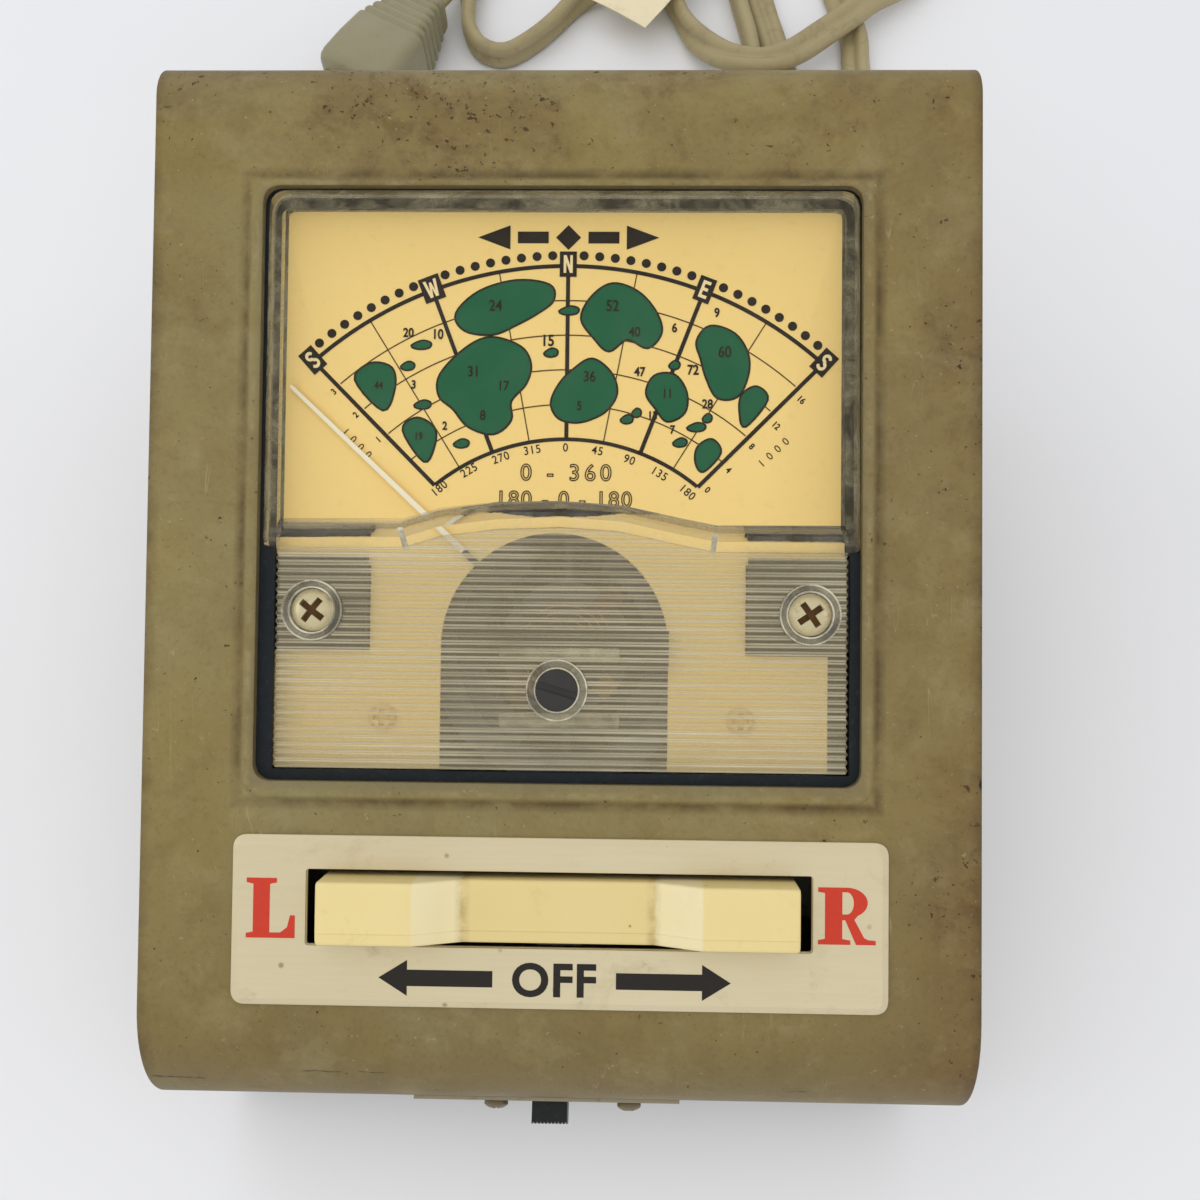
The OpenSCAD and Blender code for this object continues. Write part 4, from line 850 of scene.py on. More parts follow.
# ------------------------------------------------------------ bent case sheet
def sheet_line():
    """Outline of the bent sheet: arrays of length, y, z, and the outward normal."""
    pts = []
    bend1 = FRONT_R * (math.pi / 2 - S)
    bend2 = REAR_R * (math.pi / 2 + S)
    s0 = FRONT_H - 4.0
    for z in np.linspace(4.0, FRONT_H, 12)[:-1]:
        pts.append((z - 4, 0.0, z, -1.0, 0.0))
    for a in np.linspace(0, 1, 19)[:-1]:
        t = math.pi - a * (math.pi / 2 - S)
        pts.append((s0 + a * bend1, C1[0] + FRONT_R * math.cos(t), C1[1] + FRONT_R * math.sin(t), math.cos(t), math.sin(t)))
    fine = sorted(set(np.round(np.concatenate([np.linspace(0, PANEL_L, 31), np.arange(26.2, 31.0, 0.16), np.arange(106.8, 111.0, 0.16)]), 3)))
    for v in fine[:-1]:
        pts.append((s0 + bend1 + v, P1[0] + v * CS, P1[1] + v * SN, -SN, CS))
    for a in np.linspace(0, 1, 15)[:-1]:
        t = (math.pi / 2 + S) - a * (math.pi / 2 + S)
        pts.append((s0 + bend1 + PANEL_L + a * bend2, C2[0] + REAR_R * math.cos(t), C2[1] + REAR_R * math.sin(t), math.cos(t), math.sin(t)))
    for k, z in enumerate(np.linspace(C2[1], 4.0, 14)):
        pts.append((s0 + bend1 + PANEL_L + bend2 + (C2[1] - z), REAR_Y, z, 1.0, 0.0))
    return np.array(pts), s0 + bend1


def build_case():
    line, s_panel = sheet_line()
    xs = np.concatenate([np.linspace(-54.6, -44, 5)[:-1], np.arange(-44, -38.4, 0.16), np.linspace(-38.4, 37.8, 25)[1:-1],
                         np.arange(37.8, 43.2, 0.16), np.linspace(43.2, 54.6, 5)])
    # edge rounding: offsets (dx from the side, depth)
    left = [(-54.6 - 0.4 * math.sin(a), 0.4 * (1 - math.cos(a))) for a in np.linspace(math.pi / 2, 0, 5)[:-1]]
    right = [(-x, d) for x, d in left[::-1]]
    cols = [(x, d) for x, d in left] + [(x, 0.0) for x in xs] + right
    m = len(cols)
    verts, uv = [], []

    def lift(x, s):
        v = s - s_panel
        if v < 20 or v > 116 or abs(x + 0.4) > 44:
            return 0.0
        qx, qy = abs(x + 0.4) - 38.0, abs(v - 68.5) - 37.65
        d = math.hypot(max(qx, 0), max(qy, 0)) + min(max(qx, qy), 0) - 3.5
        t = max(0.0, min(1.0, (0.35 - d) / 1.0))
        h = 0.55 * t * t * (3 - 2 * t)
        ix, iy = abs(x + 0.4) - 37.2, abs(v - 69.2) - 36.9
        e = math.hypot(max(ix, 0), max(iy, 0)) + min(max(ix, iy), 0) - 2.5
        t2 = max(0.0, min(1.0, (0.5 - e) / 0.5))
        return h - 0.18 * t2 * t2

    n_rows = len(line)
    for s, y, z, ny_, nz_ in line:
        for x, d in cols:
            h = lift(x, s) - d
            verts.append((x, y + ny_ * h, z + nz_ * h))
            uv.append((x / 1000, s / 1000))
    for s, y, z, ny_, nz_ in line:
        for x, d in cols:
            verts.append((x, y - ny_ * (SHEET - 0.3 * (d > 0.05)), z - nz_ * (SHEET - 0.3 * (d > 0.05))))
            uv.append((x / 1000, s / 1000))
    off = n_rows * m
    faces = []
    for i in range(n_rows - 1):
        for k in range(m - 1):
            q = [i * m + k, i * m + k + 1, (i + 1) * m + k + 1, (i + 1) * m + k]
            faces.append(q)
            faces.append([off + j for j in q[::-1]])
        for k in (0, m - 1):
            faces.append([i * m + k, (i + 1) * m + k, off + (i + 1) * m + k, off + i * m + k])
    for i in (0, n_rows - 1):
        for k in range(m - 1):
            faces.append([i * m + k, i * m + k + 1, off + i * m + k + 1, off + i * m + k])
    o = make("case_sheet", raw(np.array(verts)), faces, M["paint"], uv=uv)
    win = round_poly(rect(-40.1, 39.3, 29.8, 108.6), 2.5, 8)
    slot_ = round_poly(rect(-33, 33.4, 8.4, 18.7), 0.4, 3)
    cut(o, prism(win, -4, 4), prism(slot_, -4, 4),
        prism(rect(-4.35, 4.65, 22.7, 28.3), -3, 3, lambda p: raw(np.stack([p[..., 0], p[..., 2], p[..., 1]], -1))),
        prism(circle(24, 58, 3.1), REAR_Y - 3, REAR_Y + 3, lambda p: raw(np.stack([p[..., 0], p[..., 2], p[..., 1]], -1))),
        prism(circle(42, 24, 4.1), REAR_Y - 3, REAR_Y + 3, lambda p: raw(np.stack([p[..., 0], p[..., 2], p[..., 1]], -1))))
    smooth(o, 30)
    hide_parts("wrap_cover")


build_case()

# ------------------------------------------------------------ label plate
plate_out = round_poly(rect(-42.43, 42.87, 0.8, 22.8), 1.9, 8)
plate_hole = round_poly(rect(-32.6, 33.0, 8.7, 18.4), 0.35, 3)
plate = slab("label_sheet", plate_out, 0.0, 0.8, M["plate"], (0.85, 0.34), 3, [plate_hole], angle=12)
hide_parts("label_plate")

PRINT = {}


def stamp(kind, polys, z, place=panel, thick=0.03):
    """Collects flat printed shapes: each is a list of loops, the first the outline."""
    PRINT.setdefault(kind, []).append((polys, z, place, thick))


def print_piece(name, kind, mat, body="case"):
    verts, faces = [], []
    for loops, z, place, thick in PRINT[kind]:
        loops = [np.asarray(lp, float) for lp in loops]
        base = sum(len(v) for v in verts)
        fl = np.concatenate(loops)
        tri = tessellate_polygon([[Vector((p[0], p[1], 0)) for p in lp] for lp in loops])
        n = len(fl)
        verts.append(place(flat3(fl, z + thick)))
        verts.append(place(flat3(fl, z)))
        faces += [[base + a for a in t] for t in tri]
        k = 0
        for lp in loops:
            m = len(lp)
            for i in range(m):
                a, b = k + i, k + (i + 1) % m
                faces.append([base + a, base + b, base + n + b, base + n + a])
            k += m
    return make(name, np.concatenate(verts), faces, mat, body, angle=0)


def arc_pts(cx, cy, rx, ry, a0, a1, k=14):
    return [(cx + rx * math.cos(math.radians(a0 + (a1 - a0) * i / k)), cy + ry * math.sin(math.radians(a0 + (a1 - a0) * i / k))) for i in range(k + 1)]


def put_glyph(kind, loops, x, y, w, h, z, rot=0.0, place=panel, thick=0.03):
    """Places unit-box loops with their middle at (x, y)."""
    a = math.radians(rot)
    out = []
    for lp in loops:
        p = (np.asarray(lp, float) - (0.5, 0.5)) * (w, h)
        out.append(np.column_stack([x + p[:, 0] * math.cos(a) - p[:, 1] * math.sin(a), y + p[:, 0] * math.sin(a) + p[:, 1] * math.cos(a)]))
    stamp(kind, out, z, place, thick)


GL_L = [[(0, 1), (0.62, 1), (0.62, 0.925), (0.48, 0.90), (0.48, 0.09), (0.70, 0.09), (0.84, 0.18), (0.90, 0.38), (1, 0.38), (1, 0), (0, 0), (0, 0.075), (0.14, 0.10), (0.14, 0.90), (0, 0.925)]]
GL_R = [[(0, 1), (0.50, 1)] + arc_pts(0.50, 0.735, 0.36, 0.265, 90, -58) + [(0.63, 0.44), (0.80, 0.12), (0.87, 0.085), (1, 0.075), (1, 0), (0.66, 0), (0.47, 0.43), (0.42, 0.43), (0.42, 0.10), (0.56, 0.075), (0.56, 0), (0, 0), (0, 0.075), (0.12, 0.10), (0.12, 0.90), (0, 0.925)],
        [(0.42, 0.92), (0.42, 0.53), (0.50, 0.53)] + arc_pts(0.50, 0.725, 0.12, 0.195, -90, 90) + [(0.50, 0.92)]]
put_glyph("red", GL_L, -37.25, 13.35, 6.4, 7.75, 0.8)
put_glyph("red", GL_R, 37.45, 13.45, 7.4, 7.3, 0.8)


def text_loops(txt, size, bold=0.0, spacing=1.0, shear=0.0, fill=True):
    """Flat outline triangles of plain characters, as (verts, triangles)."""
    cu = bpy.data.curves.new("t", "FONT")
    cu.body, cu.size = txt, size
    cu.align_x, cu.align_y = "CENTER", "CENTER"
    cu.offset, cu.space_character, cu.shear = bold, spacing, shear
    cu.resolution_u = 6
    if not fill:
        cu.fill_mode = "NONE"
        cu.dimensions = "3D"
    to = bpy.data.objects.new("t", cu)
    scene.collection.objects.link(to)
    dg = bpy.context.evaluated_depsgraph_get()
    me = bpy.data.meshes.new_from_object(to.evaluated_get(dg))
    co = np.array([p.co[:2] for p in me.vertices])
    tri = [list(p.vertices) for p in me.polygons]
    edges = [list(e.vertices) for e in me.edges]
    bpy.data.objects.remove(to)
    bpy.data.curves.remove(cu)
    bpy.data.meshes.remove(me)
    return co, tri, edges


TEXTS = {}


def write(kind, txt, x, y, h, z, rot=0.0, bold=0.0, wide=1.0, spacing=1.0, shear=0.0, place=panel, outline=0.0):
    """Plain characters with capital height h, centred on (x, y)."""
    co, tri, edges = text_loops(txt, h / 0.70, bold, spacing, shear, fill=not outline)
    if len(co) == 0:
        return
    mid = (co.max(0) + co.min(0)) / 2
    co = (co - mid) * (wide, 1)
    a = math.radians(rot)
    if outline:
        vs, fs = [], []
        for i, j in edges:
            p, q = co[i], co[j]
            d = q - p
            L = np.linalg.norm(d)
            if L < 1e-9:
                continue
            nrm = np.array([-d[1], d[0]]) / L * outline / 2
            e = d / L * outline / 2 * 0.6
            k = len(vs)
            vs += [p - e + nrm, p - e - nrm, q + e - nrm, q + e + nrm]
            fs.append([k, k + 1, k + 2, k + 3])
        co, tri = np.array(vs), fs
    co = np.column_stack([x + co[:, 0] * math.cos(a) - co[:, 1] * math.sin(a), y + co[:, 0] * math.sin(a) + co[:, 1] * math.cos(a)])
    TEXTS.setdefault(kind, []).append((place(flat3(co, z)), tri))


def text_piece(name, kind, mat, body="case"):
    verts, faces, k = [], [], 0
    for co, tri in TEXTS[kind]:
        verts.append(co)
        faces += [[k + i for i in t] for t in tri]
        k += len(co)
    me = bpy.data.meshes.new(name)
    me.from_pydata(np.concatenate(verts).tolist(), [], faces)
    me.update()
    o = bpy.data.objects.new(name, me)
    scene.collection.objects.link(o)
    me.materials.append(mat)
    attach(o, body)
    return o


# caption below the slot: a bar with arrow heads and OFF in the middle
cy = 4.62
stamp("cap", [[(-23.0, cy), (-19.3, cy + 2.3), (-19.3, cy + 1.05), (-8.2, cy + 1.05), (-8.2, cy - 1.05), (-19.3, cy - 1.05), (-19.3, cy - 2.3)]], 0.8)
stamp("cap", [[(22.6, cy), (18.9, cy - 2.3), (18.9, cy - 1.05), (7.8, cy - 1.05), (7.8, cy + 1.05), (18.9, cy + 1.05), (18.9, cy + 2.3)]], 0.8)
write("cap", "OFF", -0.2, cy, 4.1, 0.83, bold=0.16, wide=1.02, spacing=1.08)
print_piece("letters_red", "red", M["red_ink"])
print_piece("caption_arrows", "cap", M["black_ink"])
text_piece("caption_off", "cap", M["black_ink"])


# ------------------------------------------------------------ rocker
def build_rocker():
    L2, hw = 30.75, 4.25
    st = []

    def top(u):
        a = abs(u)
        if a >= 18.5:
            return 5.2
        if a <= 12.4:
            return 2.0
        return 2.0 + 3.2 * (a - 12.4) / 6.1

    us = [-L2, -L2 + 0.03, -L2 + 0.1, -L2 + 0.22, -L2 + 0.4, -29, -25, -21, -18.62, -18.38, -15, -12.52, -12.28, -10, -5, 0]
    us = us + [-u for u in us[-2::-1]]
    soft = {18.7: 0.0, 18.2: 0.0, 12.7: 0.0, 12.3: 0.02}
    rings = []
    for u in us:
        d = L2 - abs(u)
        e = 0.4 - math.sqrt(max(0.0, 0.4 ** 2 - (0.4 - min(0.4, d)) ** 2))
        t = top(u) + soft.get(round(abs(u), 1), 0.0) - e
        w = hw - e * 0.9
        wt = w - 0.22
        r = 0.55
        sec = round_poly([(-w, -3.5), (w, -3.5), (wt, t), (-2.42, t), (-2.50, t - 0.09), (-2.58, t - 0.03), (-wt, t - 0.16)], [0.2, 0.2, r, 0, 0, 0, r], 5)
        rings.append(np.column_stack([np.full(len(sec), 0.27 + u), 13.55 + sec[:, 0], sec[:, 1]]))
    v, f = rings_to_mesh(rings)
    o = make("rocker_paddle", panel(v), f, M["ivory"], "rocker", angle=35)
    # web and hub of the pivot
    web = round_poly(rect(-3.4, 3.4, -8.5, -3.3), 0.5, 3)
    vv, ff = rings_to_mesh([np.column_stack([0.27 + web[:, 0], np.full(len(web), yv), web[:, 1]]) for yv in (9.32, 17.78)])
    hub = make("rocker_hub", panel(vv), ff, M["ivory"], "rocker")
    for sgn in (-1, 1):
        post = round_poly(rect(0.27 + sgn * 20 - 1.5, 0.27 + sgn * 20 + 1.5, 11.55, 15.55), 0.4, 3)
        slab("rocker_post_%s" % ("left" if sgn < 0 else "right"), post, -7.0, -3.3, M["ivory"], 0, 3, (), panel, "rocker", bottom_bevel=0.35)
    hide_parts("rocker")


build_rocker()

# ------------------------------------------------------------ meter
PV = (0.3, 47.7)
FOOT = [(-39.2, 60.4), (-20.7, 60.6), (-15.9, 62.1), (-8.7, 63.05), (-0.1, 63.4), (7.7, 62.9), (15.6, 61.2), (20.3, 60.3), (39.0, 60.3), (38.8, 107.9), (-39.2, 107.9)]
FACE = [(-37.1, 62.6), (-20.0, 62.7), (-15.2, 64.1), (-8.2, 64.9), (0.1, 65.1), (7.8, 64.6), (15.4, 63.0), (20.0, 62.1), (37.4, 62.2), (37.4, 105.3), (-37.1, 105.3)]
CR = [1.0, 2.2, 3.0, 9, 9, 9, 3.0, 2.2, 1.0, 2.6, 2.6]


def build_window():
    foot, face = round_poly(FOOT, CR, 7), round_poly(FACE, CR, 7)
    lerp = lambda t: foot * (1 - t) + face * t
    m = len(foot)
    outer = [flat3(lerp(0), -1.9)]
    for n in (0.5, 1.5, 2.8, 4.0):
        outer.append(flat3(lerp((n - 0.5) / 4.5 * 0.92), n))
    top = lerp(0.94)
    rim = []
    for j in range(7):
        a = math.pi / 2 * j / 6
        rim.append(flat3(inset(top, 0.62 * (1 - math.cos(a))), 4.38 + 0.62 * math.sin(a)))
    under = flat3(inset(top, 1.5), 3.5)
    # pane with its rounded edge
    v, f = rings_to_mesh(rim + [under], (False, False))
    k = 6 * m
    tri = tessellate_polygon([[Vector((p[0], p[1], 0)) for p in rim[-1]]])
    f += [[k + a for a in t] for t in tri] + [[k + m + a for a in t] for t in tri]
    f = [q for q in f if not (len(q) == 4 and min(q) >= k)]
    low = [rim[0], under]
    base = len(v)
    v = np.concatenate([v, rim[0]])
    for a in range(m):
        b = (a + 1) % m
        f.append([base + a, base + b, k + m + b, k + m + a])
    o = make("meter_window", panel(v), f, M["clear"], angle=28)
    # walls, split into the three deep sides and the lower one
    inn = [flat3(inset(lerp(t), 1.5), n) for t, n in ((0.94, 3.5), (0.5, 1.5), (0.0, -1.9))]
    rings = outer + [rim[0]] + [r for r in inn]
    low_ids = [i for i in range(m) if foot[i][1] < 64.0]
    vv = np.concatenate(rings)
    for name, keep, mat in (("meter_window_walls", lambda a, b: not (a in lows and b in lows), M["wall"]), ("meter_window_foot", lambda a, b: a in lows and b in lows, M["foot_wall"])):
        lows = set(low_ids)
        fs = []
        for i in range(len(rings) - 1):
            for a in range(m):
                b = (a + 1) % m
                if keep(a, b):
                    fs.append([i * m + a, i * m + b, (i + 1) * m + b, (i + 1) * m + a])
        last = (len(rings) - 1) * m
        fs += [[last + a, last + (a + 1) % m, (a + 1) % m, a] for a in range(m) if keep(a, (a + 1) % m)]
        used = sorted({q for g in fs for q in g})
        remap = {q: i for i, q in enumerate(used)}
        make(name, panel(vv[used]), [[remap[q] for q in g] for g in fs], mat, angle=28)
    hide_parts("meter_cover")


build_window()

SCR = [(-32.6, 52.2), (32.6, 52.2)]
ZA = (-0.3, 42.06)


def build_ribs():
    """Lower part of the cover: V ribs across, serrated ends, scalloped lower edge."""
    v0, v1, pitch = 31.5, 63.8, 1.04
    n = int((v1 - v0) / pitch)
    prof = []
    for i in range(n):
        a = v0 + i * pitch
        prof += [(a, -0.22), (a + pitch * 0.16, -0.18), (a + pitch * 0.46, 0.18), (a + pitch * 0.54, 0.18), (a + pitch * 0.84, -0.18)]
    prof.append((v0 + n * pitch, -0.22))
    rings = []
    for vv, nn in prof:
        w = 0.5 * (nn + 0.22)
        rings.append([(-37.35 - w, vv, nn), (37.35 + w, vv, nn), (37.35 + w, vv, -1.3), (-37.35 - w, vv, -1.3)])
    v, f = rings_to_mesh(rings)
    o = make("meter_ribs", panel(np.array(v)), f, M["ribbed"], angle=20)
    holes = [prism(inset(round_poly(FOOT, CR, 7), 0.05), -3, 3)] + [prism(circle(x, y, 4.02), -3, 3) for x, y in SCR] + [prism(circle(ZA[0], ZA[1], 4.02), -3, 3)]
    cut(o, *holes)
    smooth(o, 20)
    for k, (x, y) in enumerate(SCR):
        turned("screw_well_%d" % k, [(3.95, -1.6), (4.0, 0.2), (3.95, 0.75), (3.75, 0.92), (3.35, 0.92), (3.15, 0.78), (3.1, 0.2), (3.1, -0.75), (1.7, -0.78), (1.7, -1.6)], x, y, M["well"], m=64)
    turned("adjuster_well", [(3.9, -1.5), (3.98, 0.3), (3.95, 1.0), (3.8, 1.18), (3.25, 1.2), (3.0, 1.05), (2.95, 0.22), (1.6, 0.18), (1.6, -1.5)], ZA[0], ZA[1], M["well"], m=64)
    # painted highlights: thin glint strips for the bright lines at the cover's kinks
    for x, nm in ((-20.35, "left"), (19.9, "right")):
        q = np.array([(x - 0.35, 0.0), (x + 0.35, 0.0), (x + 0.35, 0.35), (x - 0.35, 0.35)])
        d = 60.45 if x < 0 else 60.3
        e = 62.55 if x < 0 else 62.05
        v, f = rings_to_mesh([flat3(q + (0, d - 0.3), -0.4), flat3(q + (0, d - 0.15), 0.5), flat3(q * (1, 1) + (0, e - 0.1), 4.7)])
        make("window_edge_glint_" + nm, panel(v), f, M["glint"])
    for y, nm in ((46.65, "upper"), (38.1, "lower")):
        slab("clear_bar_" + nm, round_poly(rect(-7.9, 7.9, y - 0.95, y + 0.95), 0.4, 4), -0.2, 0.62, M["well"], 0.25, 3)


build_ribs()


def screw(name, x, y, z, rh, hh, rot, mat, place=panel, body="case", shaft=1.2, ls=6, slot_w=0.8):
    prof = [(shaft, z - ls), (shaft, z), (rh * 0.96, z), (rh, z + hh * 0.12), (rh, z + hh * 0.45)]
    for j in range(1, 8):
        a = math.pi / 2 * j / 8
        prof.append((rh * math.cos(a) * 0.62 + rh * 0.38 * (1 - j / 8), z + hh * 0.45 + hh * 0.55 * math.sin(a)))
    prof.append((0.15, z + hh))
    v, f = rings_to_mesh(lathe(prof, x, y, 40))
    o = make(name, place(v), f, mat, body, 40)
    cs = []
    for k in (0, 90):
        a = math.radians(rot + k)
        r = rh * 0.66
        base = np.array([(-r, -slot_w / 2), (r, -slot_w / 2), (r * 0.8, slot_w / 2), (-r * 0.8, slot_w / 2)])
        q = [(x + p[0] * math.cos(a) - p[1] * math.sin(a), y + p[0] * math.sin(a) + p[1] * math.cos(a)) for p in [(-r, -slot_w / 2), (r, -slot_w / 2), (r, slot_w / 2), (-r, slot_w / 2)]]
        cs.append(prism(q, z + hh * 0.35, z + hh + 1, place))
    cut(o, *cs)
    smooth(o, 40)
    return o


cs = [screw("cover_screw_%s" % s, x, y, -0.7, 2.75, 1.7, r, M["cover_screw"], ls=8.5, slot_w=0.85) for (x, y), s, r in zip(SCR, ("left", "right"), (52, 35))]
for o in cs:
    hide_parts("meter_cover_screws")
for (x, y), nm in zip(SCR, ("left", "right")):
    slab("screw_grime_" + nm, circle(x, y, 1.75, 28), -0.13, 0.05, M["grime"])
    # painted highlights: thin glint rings at the edges of the screw wells
    for r, z in ((4.0, 0.66), (3.12, 0.62)):
        slab("well_rim_glint_%s_%d" % (nm, r * 10), circle(x, y, r, 56), z - 0.2, z + 0.32, M["glint"], 0.06, 2, [circle(x, y, r - 0.2, 56)])
# painted highlights: thin glint rings at the edges of the adjuster well
for r, z in ((4.02, 0.95), (2.98, 0.9)):
    slab("adjuster_rim_glint_%d" % (r * 10), circle(ZA[0], ZA[1], r, 56), z - 0.2, z + 0.32, M["glint"], 0.06, 2, [circle(ZA[0], ZA[1], r - 0.2, 56)])

# zero adjuster: glossy dark disc with a slot
prof = [(1.5, -1.7), (1.5, 0.25), (2.6, 0.27), (2.75, 0.42), (2.75, 1.15), (2.6, 1.36), (2.2, 1.5), (1.4, 1.55), (0.1, 1.58)]
adj = turned("adjuster_disc", prof, ZA[0], ZA[1], M["dark"], body="zero_adjuster")
a = math.radians(-16)
q = [(ZA[0] + x * math.cos(a) - y * math.sin(a), ZA[1] + x * math.sin(a) + y * math.cos(a)) for x, y in rect(-3.2, 3.2, -0.5, 0.5)]
cut(adj, prism(q, 0.95, 3))
smooth(adj, 35)
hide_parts("zero_adjuster")

# needle: tapered blade with a counterweight
NR = math.radians(47)


def on_needle(p):
    p = np.asarray(p, float)
    x = PV[0] + p[..., 0] * math.cos(NR) - p[..., 1] * math.sin(NR)
    y = PV[1] + p[..., 0] * math.sin(NR) + p[..., 1] * math.cos(NR)
    return panel(np.stack([x, y, p[..., 2]], -1))


blade = slab("needle_blade", [(-0.43, 18.6), (0.43, 18.6), (0.27, 51.0), (0.0, 51.3), (-0.27, 51.0)], -3.95, -3.55, M["needle"], 0.08, 2, (), on_needle, "needle")
root = slab("needle_root", [(-0.85, 1.5), (0.85, 1.5), (0.46, 12), (0.43, 18.62), (-0.43, 18.62), (-0.46, 12)], -3.95, -3.55, M["dark"], 0.08, 2, (), on_needle, "needle")
tailp = slab("needle_tail", [(-0.6, -9.2), (0.6, -9.2), (0.7, -1.5), (-0.7, -1.5)], -3.95, -3.55, M["dark"], 0.08, 2, (), on_needle, "needle")
hubp = slab("needle_hub", circle(0, 0, 2.4, 40), -4.2, -3.35, M["dark"], 0.15, 2, [circle(0, 0, 1.5, 40)], on_needle, "needle")
wt = slab("needle_weight", round_poly(rect(-1.5, 1.5, -9, -6.4), 0.3, 3), -4.3, -3.5, M["brass"], 0.15, 2, (), on_needle, "needle")
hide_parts("needle")

# ------------------------------------------------------------ printed dial
ZD = -4.47
CX, CY = PV


def pol(r, a):
    """Point at radius r and angle a right of straight up."""
    return (CX + r * math.sin(math.radians(a)), CY + r * math.cos(math.radians(a)))


def arc_band(kind, r, w, a0, a1, k=60):
    out = [pol(r + w / 2, a0 + (a1 - a0) * i / k) for i in range(k + 1)] + [pol(r - w / 2, a1 - (a1 - a0) * i / k) for i in range(k + 1)]
    stamp(kind, [out], ZD)


def bar(kind, p, q, w, z=None):
    p, q = np.array(p, float), np.array(q, float)
    d = (q - p) / np.linalg.norm(q - p)
    n = np.array([-d[1], d[0]]) * w / 2
    stamp(kind, [[p + n, p - n, q - n, q + n]], ZD if z is None else z)


RO, RI = 51.6, 28.0
arc_band("ink", RO, 0.55, -41.7, 41.7, 90)
arc_band("ink", RI, 0.52, -39.2, 39.2, 70)
S_L, S_R, I_L, I_R = pol(RO, -41.9), pol(RO, 41.9), pol(RI, -39.4), pol(RI, 39.4)
bar("ink", S_L, I_L, 0.55)
bar("ink", S_R, I_R, 0.55)
for ang in (-20.9, 0, 20.9):
    bar("ink", pol(RO, ang), pol(RI, ang), 0.55)
for i in range(1, 5):
    arc_band("thin", RO + (RI - RO) * i / 5, 0.16, -41.5 + 0.45 * i, 41.5 - 0.45 * i, 70)
for ang in (-31.4, -10.45, 10.45, 31.4):
    bar("thin", pol(RO, ang), pol(RI, ang * 0.985), 0.15)
for sgn in (-1, 1):
    for k in range(16):
        ang = sgn * (2.3 + 2.3 * k if k < 8 else 23.35 + 2.31 * (k - 8))
        stamp("ink", [circle(*pol(RO + 1.45, ang), 0.62, 22)], ZD)

GLYPH = {
    "N": [[(0.08, 0), (0.08, 1), (0.34, 1), (0.68, 0.42), (0.68, 1), (0.92, 1), (0.92, 0), (0.66, 0), (0.32, 0.58), (0.32, 0)]],
    "E": [[(0.12, 0), (0.12, 1), (0.88, 1), (0.88, 0.82), (0.38, 0.82), (0.38, 0.60), (0.80, 0.60), (0.80, 0.42), (0.38, 0.42), (0.38, 0.18), (0.90, 0.18), (0.90, 0)]],
    "W": [[(0, 1), (0.22, 1), (0.31, 0.36), (0.42, 0.86), (0.58, 0.86), (0.69, 0.36), (0.78, 1), (1, 1), (0.82, 0), (0.60, 0), (0.5, 0.50), (0.40, 0), (0.18, 0)]],
}


def s_glyph():
    top = arc_pts(0.5, 0.72, 0.40, 0.28, 20, 270, 14)
    low = arc_pts(0.5, 0.28, 0.42, 0.28, 90, -160, 14)
    mid = [(0.5, 0.44 + 0.12)]
    cl = [(0.5 + 0.30 * math.cos(math.radians(a)), 0.74 + 0.185 * math.sin(math.radians(a))) for a in range(15, 271, 15)]
    cl += [(0.5 + 0.32 * math.cos(math.radians(a)), 0.27 + 0.195 * math.sin(math.radians(a))) for a in range(75, -166, -15)]
    cl = np.array(cl)
    t = np.gradient(cl, axis=0)
    t /= np.linalg.norm(t, axis=1)[:, None]
    n = np.column_stack([-t[:, 1], t[:, 0]]) * (0.125, 0.095)
    return [np.vstack([cl + n, (cl - n)[::-1]]).tolist()]


GLYPH["S"] = s_glyph()
for ch, ang in (("S", -41.9), ("W", -20.9), ("N", 0), ("E", 20.9), ("S", 41.9)):
    x, y = pol(RO + 0.25, ang)
    w, h = (2.9 if ch == "W" else 2.3), 3.45
    put_glyph("square", [rect(0, 1, 0, 1)], x, y, w, h, ZD + 0.04, -ang)
    put_glyph("cream", GLYPH[ch], x, y, w * 0.64, h * 0.70, ZD + 0.08, -ang)
for txt, (x, y), ang in zip("180 225 270 315 0 45 90 135 180".split(),
                            [(-16.75, 69.0), (-12.85, 71.4), (-8.55, 73.15), (-4.3, 74.25), (0.2, 74.6), (4.5, 74.2), (8.85, 73.0), (13.0, 71.1), (16.8, 68.6)],
                            (-41, -31, -20, -10, 0, 10, 20, 31, 41)):
    write("num", txt, x, y, 1.12, ZD + 0.03, -ang, 0.012, 0.92, 1.12)
for txt, (x, y) in (("3", (-31.4, 82.0)), ("2", (-28.35, 78.85)), ("1", (-25.2, 75.5))):
    write("num", txt, x, y, 0.85, ZD + 0.03, 43, 0.03, 0.9)
for txt, (x, y) in (("16", (31.95, 81.2)), ("12", (28.6, 77.7)), ("8", (25.3, 74.9)), ("4", (22.2, 71.7)), ("0", (19.4, 69.0))):
    write("num", txt, x, y, 0.85, ZD + 0.03, -43, 0.03, 0.9)
write("num", "1 0 0 0", -28.0, 74.9, 1.05, ZD + 0.03, -45, 0.0, 0.95, 1.25)
write("num", "1 0 0 0", 28.3, 74.2, 1.05, ZD + 0.03, 43, 0.0, 0.95, 1.25)
write("outline", "0 - 360", 0.3, 71.2, 2.2, ZD + 0.03, 0, 0.0, 1.0, 1.35, outline=0.16)
write("outline", "180 - 0 - 180", 0.3, 67.6, 2.1, ZD + 0.03, 0, 0.0, 1.0, 1.15, outline=0.16)

